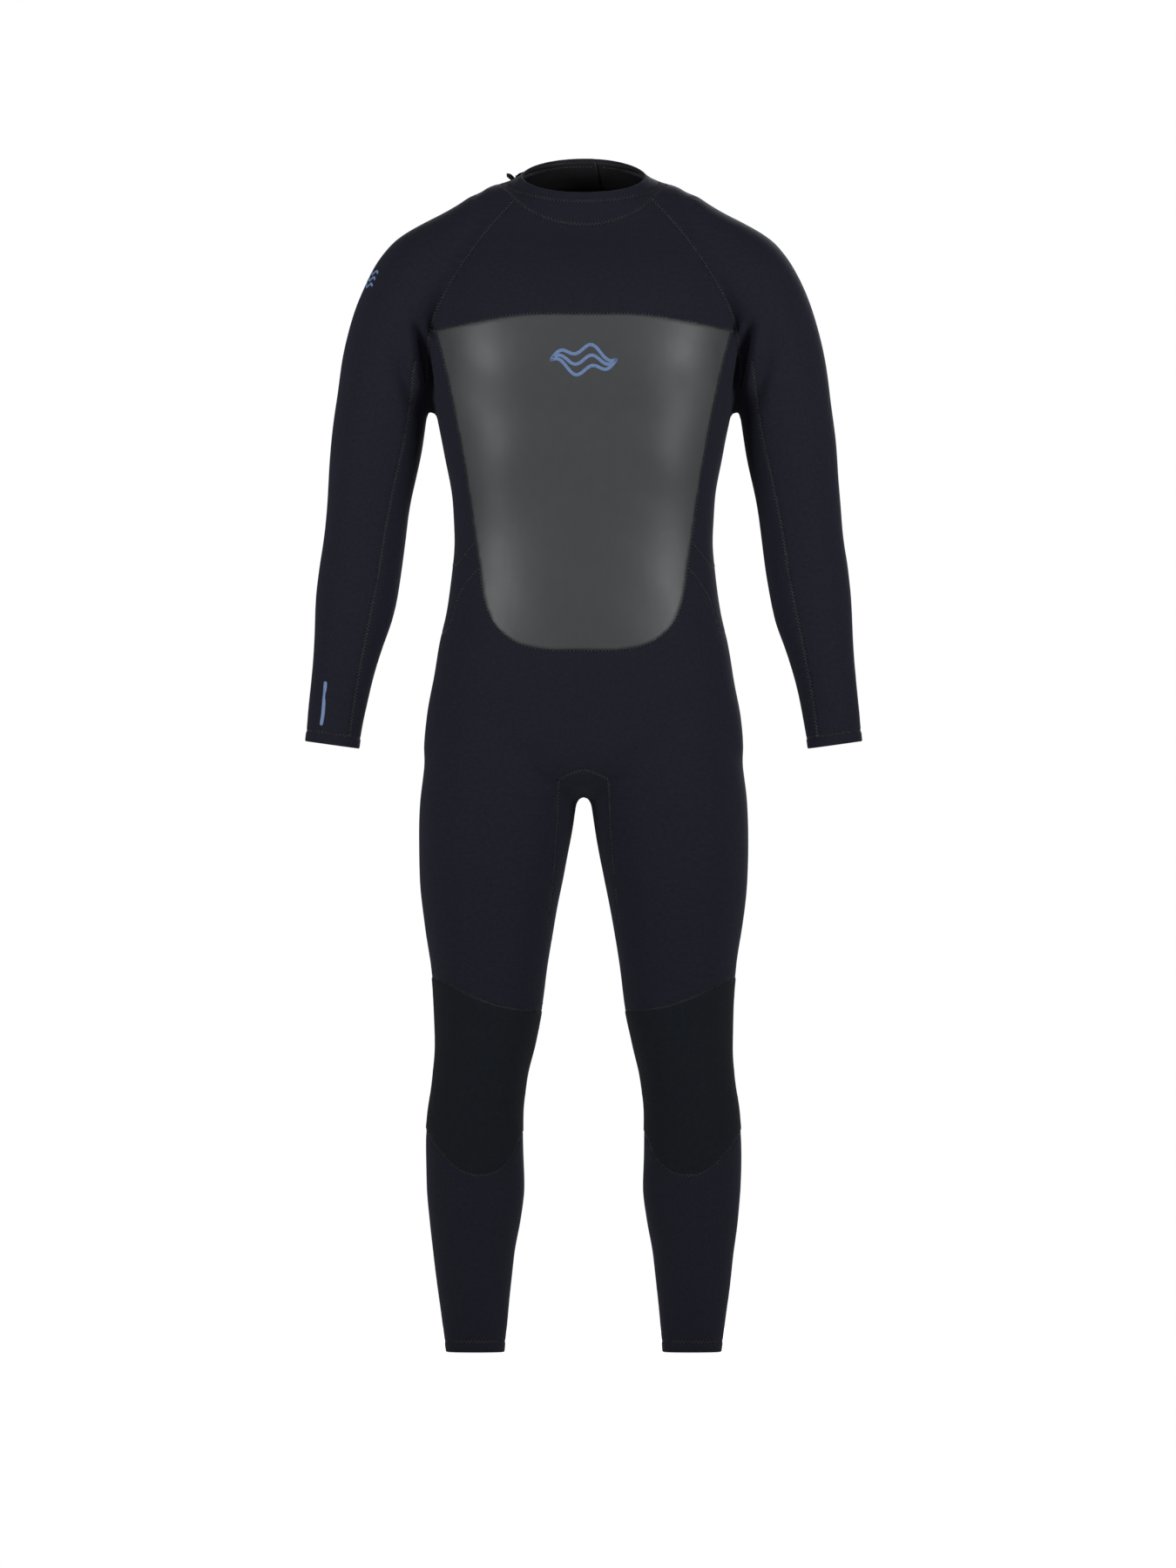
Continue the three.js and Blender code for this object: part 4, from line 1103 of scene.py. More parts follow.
def sew(rows, material):
    """One piece of stitching for each group of rows."""
    for group in sorted({row[0] for row in rows}):
        points, faces, total = [], [], 0
        for _, starts, ends, normals, sag in (row for row in rows if row[0] == group):
            co, tris = stitches(starts, ends, normals, THREAD, sag)
            points.append(co)
            faces.append(tris + total)
            total += len(co)
        attach(add_piece(f"{group}_stitching", np.vstack(points), np.vstack(faces), [material]), group)


def thread_row(points, normals, pitch, group):
    """Running stitches along a line of points."""
    points, normals = spaced(points, normals, pitch)
    half = unit(np.gradient(points, axis=0)) * pitch * STITCH_RUN
    return group, points - half, points + half, normals, 0


RIM_SEARCH = 20          # mm below a place within which the rim is looked for


class Ground:
    """The smooth surface under the pieces that lie on the suit."""

    def __init__(self, skin):
        self.co, self.faces, self.normal = skin.co.copy(), skin.faces, skin.normal.copy()
        self.tree = BVHTree.FromPolygons(self.co.tolist(), self.faces.tolist())

    def smooth_normal(self, place, face):
        corners = self.faces[face]
        weights = poly_3d_calc([Vector(p) for p in self.co[corners]], place)
        normal = np.array(weights) @ self.normal[corners]
        return normal / np.linalg.norm(normal)

    def over(self, side):
        """Places (x, z, height) in mm over the surface as seen from the front or the back."""
        def place(x, z, height):
            for above in range(RIM_SEARCH):      # a place just above the rim stands on the rim
                hit, _, face = meet(self.tree, x, z - above, side)
                if hit:
                    break
            up = np.array([0, 0, above * MM])
            return np.array(hit) + up + self.smooth_normal(hit, face) * height * MM
        return place

    def facing(self, x, z, side):
        """Places like those of over, but met by rays square to the surface at (x, z)."""
        hit, _, face = meet(self.tree, x, z, side)
        out = Vector(self.smooth_normal(hit, face))
        across = Vector((0, 0, 1)).cross(out).normalized() * -side
        up = out.cross(across) * side
        up = up if up.z > 0 else -up

        def place(px, pz, height):
            start = hit + across * (px - x) * MM + up * (pz - z) * MM + out * NEAR_START
            met, _, face, _ = self.tree.ray_cast(start, -out)
            return np.array(met) + self.smooth_normal(met, face) * height * MM
        return place


# ---- Plates: flat outlines with a rounded border, laid over a surface ----
def filled(start, end, gap):
    """Points about every gap between two places."""
    run = np.linalg.norm(end - start)
    return [start + (end - start) * t for t in np.arange(1, round(run / gap)) * gap / run]


def rounded(corners, radius, gap=2.0):
    """The outline with each corner rounded and a point about every gap millimetres."""
    corners = np.array(corners, float)
    if np.cross(corners[1] - corners[0], corners[2] - corners[1]) < 0:
        corners = corners[::-1]
    made = []
    for before, at, after in zip(np.roll(corners, 1, 0), corners, np.roll(corners, -1, 0)):
        back, ahead = before - at, after - at
        reach = min(radius, np.linalg.norm(back) / 2.2, np.linalg.norm(ahead) / 2.2)
        start, end = at + back / np.linalg.norm(back) * reach, at + ahead / np.linalg.norm(ahead) * reach
        if made:
            made += filled(made[-1], start, gap)
        made += [start * (1 - t) ** 2 + 2 * at * t * (1 - t) + end * t * t for t in np.linspace(0, 1, 5)]
    return np.array(made + filled(made[-1], made[0], gap))


def inset(outline, distance):
    """The outline moved inwards."""
    along = unit(np.roll(outline, -1, 0) - np.roll(outline, 1, 0))
    return outline + np.stack([-along[:, 1], along[:, 0]], 1) * distance


EDGE_TURNS = (60, 30, 0, -30, -60)   # degrees round a half-round border, from the top


def facing_out(co, tris):
    """The triangles of a closed shape, turned so that they face outwards."""
    a, b, c = (co[tris[:, k]] for k in range(3))
    inward = (np.cross(b - a, c - a) * (a - co.mean(0))).sum() < 0
    return tris[:, ::-1] if inward else tris


def meshed(outline, gap):
    """The flat inside of an outline as (points, triangles); the outline's own points come first."""
    low, high = outline.min(0), outline.max(0)
    across, along = np.arange(low[0], high[0], gap), np.arange(low[1], high[1], gap)
    grid = np.stack(np.meshgrid(across, along), -1).reshape(-1, 2)
    away = np.array([min(np.linalg.norm(outline - p, axis=1)) for p in grid])
    count = len(outline)
    ring = [(i, (i + 1) % count) for i in range(count)]
    points = [Vector(p) for p in [*outline, *grid[away > gap * 0.4]]]
    flat, _, faces, *_ = delaunay_2d_cdt(points, ring, [], 1, 1e-4)
    return np.array([tuple(p) for p in flat]), np.array(faces)


def plate(name, outline, bottom, top, place, material, gap=3.0):
    """A closed plate between two heights over a surface, with a half-round border."""
    radius, middle = (top - bottom) / 2, (top + bottom) / 2
    flat, faces = meshed(inset(outline, radius), gap)
    rows, heights = [flat, flat], [middle + radius, middle - radius]
    tris = [faces, faces[:, ::-1] + len(flat)]
    total = 2 * len(flat)
    a = np.arange(len(outline))
    b = np.roll(a, -1)
    before = a
    for turn in EDGE_TURNS:
        rows.append(inset(outline, radius * (1 - math.cos(math.radians(turn)))))
        heights.append(middle + radius * math.sin(math.radians(turn)))
        tris += strip(before, a + total, a, b)
        before = a + total
        total += len(outline)
    tris = np.vstack(tris + strip(before, a + len(flat), a, b))
    co = np.array([place(x, z, height) for row, height in zip(rows, heights) for x, z in row])
    tris = facing_out(co, tris)
    return add_piece(name, co, tris, [material], uv=(np.vstack(rows) * MM)[tris])


def swept(name, sections, material):
    """A tube through equal rings of points, with flat ends."""
    sections = np.array(sections)
    count, sides, _ = sections.shape
    total, last = count * sides, (count - 1) * sides
    i, j = np.meshgrid(np.arange(count - 1), np.arange(sides), indexing="ij")
    a, b = i * sides + j, i * sides + (j + 1) % sides
    j = np.arange(sides)
    ahead = (j + 1) % sides
    tris = np.vstack([
        np.stack([a, b, b + sides], -1).reshape(-1, 3),
        np.stack([a, b + sides, a + sides], -1).reshape(-1, 3),
        np.stack([ahead, j, 0 * j + total], 1),
        np.stack([j + last, ahead + last, 0 * j + total + 1], 1),
    ])
    co = np.vstack([sections.reshape(-1, 3), sections[0].mean(0), sections[-1].mean(0)])
    tris = facing_out(co, tris)
    t, s = lengths_along(sections[:, 0]), lengths_along(sections[0])
    uv = np.vstack([np.stack(np.meshgrid(s, t), -1).reshape(-1, 2), [[0, 0], [0, t[-1]]]])
    return add_piece(name, co, tris, [material], uv=uv[tris])


# ---- Zip, in its own frame: x across, y out of the back, z up the spine ----
ZIP_MIDDLE, ZIP_HALF = (ZIP_LOW + ZIP_HIGH) / 2, (ZIP_HIGH - ZIP_LOW) / 2
SPINE_FLAT = 0.993       # the seam lies this much nearer than the station's back depth
ZIP_LEAN = math.atan(SPINE_SLOPE)
ZIP_DEPTH = -4.6         # of the tapes and the coil, from the line of the spine
TAPE_INNER, TAPE_HALF = 3.2, 17
# The upper half of a tape's section: distance from the zip's middle and half thickness
TAPE_SECTION = [
    (TAPE_INNER, 0.1), (TAPE_INNER + 0.15, 0.45), (TAPE_INNER + 0.8, 0.5), (TAPE_INNER + 1.8, 0.45),
    (TAPE_INNER + 2.6, 0.25), (TAPE_HALF - 2.2, 0.25), (TAPE_HALF - 1.4, 0.38), (TAPE_HALF - 0.4, 0.36),
    (TAPE_HALF, 0.1),
]
TAPE_ROWS = 142
TAPE_TOP = 7             # how far the tapes run on above the coil
TAPE_CLOSING = 3         # the last of the coil's length, over which they close up
TAPE_GAP = 0.2           # half the gap left between them
DIP_START, DIP = 4, 0.035  # where they begin to dip, and how steeply
TAPE_WAVE = 0.08         # the slight unevenness of the weave
COIL_PITCH, COIL_WIRE = 1.9, 0.42
COIL_MIDDLE, COIL_ACROSS, COIL_DEEP = 0.95, 1.4, 0.92
COIL_ROUND = 0.8         # below 1, the turns are a little square
COIL_START, COIL_SHORT = 11, 12    # from the zip's lower end, and by how much it is shorter than the zip
COIL_STEPS, WIRE_SIDES = 12, 6


def on_spine(x, y, z):
    """A place of the zip's own frame, in the suit."""
    c, s = math.cos(ZIP_LEAN), math.sin(ZIP_LEAN)
    return np.array([x, y * c + z * s + spine(ZIP_MIDDLE) * SPINE_FLAT, z * c - y * s + ZIP_MIDDLE]) * MM + ORIGIN


def zip_tape(hand, material):
    """A woven tape with a thick corded edge beside the coil and a thin selvedge outside.

    Above the coil the two tapes close up and dip under the foam.
    """
    loop = [(x, ZIP_DEPTH + half) for x, half in TAPE_SECTION]
    loop += [(x, ZIP_DEPTH - half) for x, half in reversed(TAPE_SECTION)]
    widest = (TAPE_INNER - TAPE_GAP) / (TAPE_HALF - TAPE_INNER)
    sections = []
    for z in np.linspace(-ZIP_HALF, ZIP_HALF + TAPE_TOP, TAPE_ROWS):
        width = 1 + widest * smoothstep((z - ZIP_HALF + TAPE_CLOSING) / TAPE_CLOSING)
        dip = DIP * max(0, z - ZIP_HALF + DIP_START) ** 2
        sections.append([on_spine(hand * (TAPE_HALF - (TAPE_HALF - x) * width),
                                  y + TAPE_WAVE * math.sin(z / 9 + x / 5) - dip, z) for x, y in loop])
    name = "left_zip_tape" if hand > 0 else "right_zip_tape"
    piece = swept(f"{name}_weave", sections, material)
    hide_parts(name)
    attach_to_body(piece, "torso")


def coil_path(hand):
    """The middle of one coil's wire."""
    turns = int((2 * ZIP_HALF - COIL_SHORT) / COIL_PITCH)
    t = np.arange(turns * COIL_STEPS + 1) / COIL_STEPS
    c, s = np.cos(2 * math.pi * t), np.sin(2 * math.pi * t)
    x = hand * (COIL_MIDDLE + COIL_ACROSS * np.sign(c) * np.abs(c) ** COIL_ROUND)
    y = ZIP_DEPTH + COIL_DEEP * np.sign(s) * np.abs(s) ** COIL_ROUND
    z = COIL_START - ZIP_HALF + t * COIL_PITCH + (COIL_PITCH / 2 if hand < 0 else 0)
    return np.stack([x, y, z], 1)


def zip_coil(material):
    """Two interlocked spiral coils of monofilament, which together stand for the CAD's coil."""
    for hand in (1, -1):
        path = coil_path(hand)
        along = unit(np.gradient(path, axis=0))
        side = unit(np.cross(along, [0, 0, 1.0]))
        up = np.cross(side, along)
        turns = np.arange(WIRE_SIDES) * math.pi / (WIRE_SIDES / 2)
        wire = [path + COIL_WIRE * (side * math.cos(turn) + up * math.sin(turn)) for turn in turns]
        sections = [[on_spine(*p) for p in ring] for ring in np.stack(wire, 1)]
        piece = swept(f"{'left' if hand > 0 else 'right'}_zip_teeth", sections, material)
        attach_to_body(piece, "torso")
    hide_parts("zip_coil")


BAFFLE_HALF, BAFFLE_BELOW, BAFFLE_SHORT = 30, 8, 4
BAFFLE_LOW, BAFFLE_TOP = -9.1, -7.3


def zip_baffle(material):
    """The flap behind the zip."""
    half, low, high = BAFFLE_HALF, -ZIP_HALF - BAFFLE_BELOW, ZIP_HALF - BAFFLE_SHORT
    outline = rounded([(-half, low), (half, low), (half, high), (-half, high)], 12, 4)
    piece = plate("zip_baffle_flap", outline, BAFFLE_LOW, BAFFLE_TOP,
                  lambda x, z, height: on_spine(x, height, z), material, 8)
    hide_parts("zip_baffle")
    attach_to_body(piece, "torso")


def metal_part(node, material, bevel):
    """A CAD metal part with its sharp edges eased, in painted metal."""
    part = bpy.data.objects[node]
    part.data.materials.clear()
    part.data.materials.append(material)
    edge = part.modifiers.new("eased edges", "BEVEL")
    edge.width = bevel * MM
    edge.segments = 3
    edge.limit_method = "ANGLE"
    edge.angle_limit = math.radians(35)
    edge.harden_normals = True


# ---- Collar: neck seal, closure tab and its patches ----
SEAL_LOW, SEAL_TOP, SEAL_OUTER, SEAL_INNER = 1382, 1414, -3.7, -5.1
TAB = [(38, 1407), (38, 1436), (0, 1437), (-35, 1433), (-58, 1426), (-80, 1417), (-80, 1405), (-40, 1406)]
LOOP_PATCH = [(-22, 1410), (-22, 1432), (-50, 1427), (-70, 1419), (-70, 1409)]
HOOK_PATCH = [(-30, 1411), (-30, 1430), (-50, 1425.5), (-68, 1418), (-68, 1410)]
# Heights of the flat faces over the collar
LOOP_LOW, LOOP_TOP = 0.3, 1.1
HOOK_LOW, HOOK_TOP = 1.4, 2.2
TAB_LOW, TAB_TOP = 2.5, 4.7
TAB_ROW, ROW_HEIGHT = 3, 4.75   # the tab's stitching: in from its edge, and over the collar
PULL_OVER, PULL_UNDER = 5.3, 1.9  # heights of the webbing over and under the tab
PULL_LEVEL = 1411        # middle height of the webbing where it is sewn to the tab
PULL_ROOT = -80          # where it leaves the tab
PULL_TIP = [(-85.5, 40, 1414), (-90, 33, 1417), (-93, 28, 1419.5), (-92, 24, 1420), (-88.5, 24, 1419.5),
            (-85.5, 30, 1417)]
WEBBING_SECTION = [(-0.5, -3.8), (-0.5, 3.8), (-0.3, 4.3), (0.3, 4.3), (0.5, 3.8), (0.5, -3.8), (0.3, -4.3),
                   (-0.3, -4.3)]
NECK_RADIUS = 70
SLIT_FROM, SLIT_TO = 13.6, 14.4    # the seal's two ends, to the wearer's left of the back's middle
TORSO_FINE = between(TORSO, [0], 8)


def torso_point(angle, z, grow):
    """A point of the torso's loft at an angle round it and a height, moved out by grow."""
    half, front, back, rise = (np.interp(z, TORSO_FINE[:, 0], TORSO_FINE[:, k]) for k in range(1, 5))
    s, c = math.sin(angle), math.cos(angle)
    depth = (back if s > 0 else front) + grow
    return np.array([(half + grow) * c, depth * s, z + rise / 2 * s]) * MM + ORIGIN


def back_angle(x):
    """The angle round the neck of a place x mm to the wearer's left of the back's middle."""
    return math.acos(x / NECK_RADIUS)


def neck_seal(material):
    """The smooth lining strip inside the collar, open in a slit at the back."""
    heights = np.linspace(SEAL_LOW, SEAL_TOP, 12)
    middle, half = (SEAL_OUTER + SEAL_INNER) / 2, (SEAL_OUTER - SEAL_INNER) / 2
    loop = [(SEAL_OUTER, z) for z in heights[:-1]]
    loop += [(middle + half * math.cos(turn), SEAL_TOP - 1 + half * math.sin(turn))
             for turn in np.linspace(0, math.pi, 7)]
    loop += [(SEAL_INNER, z) for z in heights[-2::-1]]
    angles = np.linspace(back_angle(SLIT_FROM), back_angle(SLIT_TO) + 2 * math.pi, 150)
    sections = [[torso_point(angle, z, grow) for grow, z in loop] for angle in angles]
    piece = swept("neck_seal_lining", sections, material)
    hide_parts("neck_seal")
    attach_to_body(piece, "torso")


def seal_rows():
    """The line of stitches that holds the seal inside the collar."""
    angles = np.linspace(back_angle(9), back_angle(19) + 2 * math.pi, 300)
    points = np.array([torso_point(angle, SEAL_TOP - 6, SEAL_INNER - 0.1) for angle in angles])
    normals = ORIGIN - points
    normals[:, 2] = 0
    return [thread_row(points, unit(normals), 4.2 * MM, "torso")]


def closure(ground, jersey, webbing):
    """The tab that closes the collar over the zip and its two patches; returns the tab's row of stitches."""
    over = ground.over(BACK)
    patch = plate("collar_loop_patch_pile", rounded(LOOP_PATCH, 4), LOOP_LOW, LOOP_TOP, over, webbing)
    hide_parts("collar_loop_patch")
    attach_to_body(patch, "torso")
    hook = plate("tab_hook_patch_hooks", rounded(HOOK_PATCH, 3), HOOK_LOW, HOOK_TOP, over, webbing)
    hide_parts("tab_hook_patch")
    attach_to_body(hook, "tab")
    outline = rounded(TAB, 6)
    tab = plate("collar_tab_fabric", outline, TAB_LOW, TAB_TOP, over, jersey)
    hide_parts("collar_tab")
    attach(tab, "tab")
    row = inset(outline, TAB_ROW)
    points, below = (np.array([over(x, z, height) for x, z in [*row, row[0]]])
                     for height in (ROW_HEIGHT, ROW_HEIGHT - 1))
    return [thread_row(points, (points - below) / MM, 3.2 * MM, "tab")]


def pull_loop(ground, material):
    """A folded loop of webbing, sewn to both faces of the tab's end."""
    over = ground.over(BACK)
    first, last = (over(PULL_ROOT, PULL_LEVEL, height) for height in (PULL_OVER, PULL_UNDER))
    lean = over(PULL_ROOT, PULL_LEVEL + 4, PULL_OVER) - first
    lean /= np.linalg.norm(lean)
    plan = np.array([first / MM, *PULL_TIP, last / MM])
    tip = eased(spaced(plan, plan, 1.2)[0], 4)
    along = unit(np.gradient(tip[:, :2], axis=0))
    sections = [[over(x, PULL_LEVEL + h, PULL_OVER + w) for w, h in WEBBING_SECTION]
                for x in np.linspace(-60, PULL_ROOT + 1, 9)]
    sections += [[(p + np.array([a[1], -a[0], 0]) * w) * MM + lean * h * MM for w, h in WEBBING_SECTION]
                 for p, a in zip(tip, along)]
    sections += [[over(x, PULL_LEVEL + h, PULL_UNDER - w) for w, h in WEBBING_SECTION]
                 for x in np.linspace(PULL_ROOT + 1, PULL_ROOT + 7, 3)]
    piece = swept("tab_pull_loop_webbing", sections, material)
    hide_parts("tab_pull_loop")
    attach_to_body(piece, "tab")


# ---- Printed marks: plain water ripples and a bar ----
def round_end(point, side, ahead):
    """Half a circle of points round the end of a stroke, from point + side past point + ahead."""
    turn = np.linspace(0, math.pi, 8)[1:-1]
    return point + (np.outer(np.cos(turn), side) + np.outer(np.sin(turn), ahead))


def ribbon(points, width):
    """The outline of a stroke with round ends along a line of points."""
    points = np.array(points, float)
    along = unit(np.gradient(points, axis=0))
    side = np.stack([-along[:, 1], along[:, 0]], 1) * width / 2
    return np.vstack([points - side, round_end(points[-1], -side[-1], along[-1] * width / 2),
                      (points + side)[::-1], round_end(points[0], side[0], -along[0] * width / 2)])


def ripples(x, z, length, height, stroke):
    """Three ripples that join at both ends."""
    t = np.linspace(0, 1, 40)
    wave = 0.16 * height * np.sin(4 * math.pi * t)
    bow = np.sin(math.pi * t)
    return [ribbon(np.stack([x + (t - 0.5) * length, z + rise * height * bow + wave], 1), stroke)
            for rise in (-0.4, 0, 0.4)]


def waves(x, z, length, height, stroke):
    """Three waves one above the other."""
    t = np.linspace(0, 1, 40)
    wave = 0.1 * height * np.sin(3 * math.pi * t)
    return [ribbon(np.stack([x + (t - 0.5) * length, z + lift * height + wave], 1), stroke)
            for lift in (-0.38, 0, 0.38)]


PRINT_LOW, PRINT_TOP = -0.25, 0.22   # heights of a print's faces over the cloth


def mark(node, outlines, place, group, material):
    """The plain strokes that stand for one printed mark."""
    pieces = [plate(f"{node}_print_{index}", outline, PRINT_LOW, PRINT_TOP, place, material, 2.5)
              for index, outline in enumerate(outlines)]
    for piece in pieces:
        attach(piece, group)
    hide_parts(node)


# ---- Materials ----
def principled(name, colour, roughness, **constants):
    """A material, its node tree and its surface node, which still has plain values."""
    made = bpy.data.materials.new(name)
    made.use_nodes = True
    surface = made.node_tree.nodes["Principled BSDF"]
    surface.inputs["Base Color"].default_value = (*colour, 1)
    surface.inputs["Roughness"].default_value = roughness
    for socket, value in constants.items():
        surface.inputs[socket.replace("_", " ")].default_value = value
    return made, made.node_tree, surface


def maths(tree, operation, *values):
    """A Math node fed by numbers or other nodes' outputs."""
    node = tree.nodes.new("ShaderNodeMath")
    node.operation = operation
    for index, value in enumerate(values):
        if isinstance(value, (int, float)):
            node.inputs[index].default_value = value
        else:
            tree.links.new(value, node.inputs[index])
    return node.outputs[0]


def cloth_places(tree):
    """Distances across and along the cloth, in metres."""
    place = tree.nodes.new("ShaderNodeUVMap")
    place.uv_map = "weave"
    apart = tree.nodes.new("ShaderNodeSeparateXYZ")
    tree.links.new(place.outputs["UV"], apart.inputs[0])
    return place.outputs["UV"], apart.outputs["X"], apart.outputs["Y"]


def noise(tree, place, scale, detail=3.0, roughness=0.55):
    """Cloudy values about 0.5, with scale clouds to the metre."""
    made = tree.nodes.new("ShaderNodeTexNoise")
    made.inputs["Scale"].default_value = scale
    made.inputs["Detail"].default_value = detail
    made.inputs["Roughness"].default_value = roughness
    tree.links.new(place, made.inputs["Vector"])
    return made.outputs["Fac"]


def vary(tree, surface, fac, dark, light, low=0.35, high=0.65):
    """Base colour from dark to light as fac goes from low to high."""
    ramp = tree.nodes.new("ShaderNodeValToRGB")
    ramp.color_ramp.elements[0].position = low
    ramp.color_ramp.elements[0].color = (*dark, 1)
    ramp.color_ramp.elements[1].position = high
    ramp.color_ramp.elements[1].color = (*light, 1)
    tree.links.new(fac, ramp.inputs[0])
    tree.links.new(ramp.outputs[0], surface.inputs["Base Color"])


# Painted shade in the seams: the colour a groove's bottom is darkened towards, and by how much
SEAM_SHADE_COLOUR, SEAM_SHADE_SHARE = (0.002, 0.002, 0.003, 1), 0.65


def paint_seam_shade(tree, surface):
    """Painted shade: darkens the base colour down in the seams' grooves, as shade lying in them."""
    seam_shade = tree.nodes.new("ShaderNodeAttribute")
    seam_shade.attribute_name = "seam_shade"
    mix = tree.nodes.new("ShaderNodeMix")
    mix.data_type = "RGBA"
    colour = surface.inputs["Base Color"]
    before = colour.links[0].from_socket
    tree.links.new(maths(tree, "MULTIPLY", seam_shade.outputs["Fac"], SEAM_SHADE_SHARE), mix.inputs["Factor"])
    tree.links.new(before, mix.inputs[6])
    mix.inputs[7].default_value = SEAM_SHADE_COLOUR
    tree.links.new(mix.outputs[2], colour)


def vary_roughness(tree, surface, fac, low, high):
    """Roughness from low to high with fac."""
    span = tree.nodes.new("ShaderNodeMapRange")
    span.inputs["To Min"].default_value = low
    span.inputs["To Max"].default_value = high
    tree.links.new(fac, span.inputs["Value"])
    tree.links.new(span.outputs["Result"], surface.inputs["Roughness"])


def bump(tree, surface, height, distance, strength):
    """Relief too fine for the mesh."""
    node = tree.nodes.new("ShaderNodeBump")
    node.inputs["Distance"].default_value = distance
    node.inputs["Strength"].default_value = strength
    tree.links.new(height, node.inputs["Height"])
    tree.links.new(node.outputs["Normal"], surface.inputs["Normal"])


def sine(tree, distance, length):
    """A wave along a distance that repeats every length metres."""
    return maths(tree, "SINE", maths(tree, "MULTIPLY", distance, 2 * math.pi / length))


LOOP_LEAN, LOOP_HEIGHT = 0.35, 0.72  # of a knitted loop, by its width


def knit(tree, across, along, pitch):
    """Rows of knitted loops: columns of slanted stitches."""
    column = maths(tree, "ABSOLUTE", sine(tree, across, 2 * pitch))
    lean = maths(tree, "MULTIPLY", column, LOOP_LEAN * pitch)
    row = sine(tree, maths(tree, "ADD", along, lean), LOOP_HEIGHT * pitch)
    return maths(tree, "ADD", maths(tree, "MULTIPLY", column, 0.6), maths(tree, "MULTIPLY", row, 0.25))


def jersey_cloth():
    """Black knitted nylon over foam, slightly blue."""
    made, tree, surface = principled("jersey", (0.0133, 0.0133, 0.022), 0.82, Specular_IOR_Level=0.16,
                                     Sheen_Weight=0.07, Sheen_Roughness=0.4)
    surface.inputs["Sheen Tint"].default_value = (0.75, 0.8, 1.0, 1)
    place, across, along = cloth_places(tree)
    mottle = noise(tree, place, 230, 8, 0.75)
    vary(tree, surface, mottle, (0.0082, 0.0082, 0.0158), (0.0148, 0.0148, 0.0262), 0.3, 0.7)
    # painted shade down in the seams
    paint_seam_shade(tree, surface)
    vary_roughness(tree, surface, noise(tree, place, 160), 0.78, 0.9)
    height = maths(tree, "ADD", knit(tree, across, along, 0.9 * MM), maths(tree, "MULTIPLY", mottle, 0.6))
    bump(tree, surface, height, 0.12 * MM, 0.7)
    return made


def knee_cloth():
    """The pads' tougher knit, with a grid of small raised squares."""
    made, tree, surface = principled("knee_jersey", (0.008, 0.011, 0.0125), 0.75, Specular_IOR_Level=0.16,
                                     Sheen_Weight=0.03, Sheen_Roughness=0.4)
    place, across, along = cloth_places(tree)
    cell = 1.9 * MM
    grid = [maths(tree, "ABSOLUTE", sine(tree, way, 2 * cell)) for way in (across, along)]
    block = maths(tree, "POWER", maths(tree, "MINIMUM", *grid), 0.5)
    fine = knit(tree, across, along, 0.6 * MM)
    mottle = noise(tree, place, 110, 8, 0.7)
    vary(tree, surface, mottle, (0.0052, 0.0073, 0.011), (0.007, 0.0097, 0.0142), 0.3, 0.7)
    # painted shade down in the seams
    paint_seam_shade(tree, surface)
    height = maths(tree, "ADD", block, maths(tree, "MULTIPLY", fine, 0.3))
    bump(tree, surface, height, 0.25 * MM, 0.8)
    return made


def smooth_skin(name, dark, light):
    """Satin rubber with a very fine mesh pressed into it."""
    made, tree, surface = principled(name, light, 0.4, Specular_IOR_Level=0.42)
    place, across, along = cloth_places(tree)
    cell = 1.1 * MM
    slanted = (maths(tree, "ADD", across, along), maths(tree, "SUBTRACT", across, along))
    grid = [sine(tree, way, cell) for way in slanted]
    mesh = maths(tree, "MULTIPLY", *grid)
    mottle = noise(tree, place, 60, 7, 0.7)
    vary(tree, surface, mottle, dark, light, 0.3, 0.7)
    # painted shade down in the seams
    paint_seam_shade(tree, surface)
    vary_roughness(tree, surface, noise(tree, place, 90, 4), 0.44, 0.52)
    height = maths(tree, "ADD", maths(tree, "MULTIPLY", mesh, 0.3), noise(tree, place, 900, 2))
    bump(tree, surface, height, 0.08 * MM, 0.5)
    return made


def lining_cloth(name, dark, light):
    """The knitted nylon inside the suit."""
    made, tree, surface = principled(name, light, 0.9, Specular_IOR_Level=0.2, Sheen_Weight=0.1)
    place, across, along = cloth_places(tree)
    vary(tree, surface, noise(tree, place, 60, 4), dark, light)
    bump(tree, surface, knit(tree, across, along, 1.2 * MM), 0.15 * MM, 0.8)
    return made


def foam_edge():
    """The cut edge of the foam rubber, with its fine bubbles."""
    made, tree, surface = principled("foam_edge", (0.012, 0.012, 0.014), 0.85, Specular_IOR_Level=0.2)
    place, _, _ = cloth_places(tree)
    vary(tree, surface, noise(tree, place, 1500, 3), (0.008, 0.008, 0.01), (0.016, 0.016, 0.019))
    bump(tree, surface, noise(tree, place, 2500, 2), 0.1 * MM, 0.6)
    return made


def printed():
    """Blue ink on the knit."""
    made, tree, surface = principled("print", (0.13, 0.22, 0.42), 0.5, Specular_IOR_Level=0.35)
    place, across, along = cloth_places(tree)
    vary(tree, surface, noise(tree, place, 500, 3), (0.12, 0.19, 0.36), (0.17, 0.26, 0.46))
    bump(tree, surface, knit(tree, across, along, 0.9 * MM), 0.08 * MM, 0.6)
    return made


def woven(name, dark, light, cell):
    """A plain weave of flat yarns."""
    made, tree, surface = principled(name, light, 0.75, Specular_IOR_Level=0.3)
    place, across, along = cloth_places(tree)
    yarns = [sine(tree, way, cell * MM) for way in (across, along)]
    height = maths(tree, "MULTIPLY", *yarns)
    vary(tree, surface, maths(tree, "MULTIPLY_ADD", height, 0.2, noise(tree, place, 300, 3)), dark, light)
    bump(tree, surface, height, 0.2 * MM, 0.8)
    return made


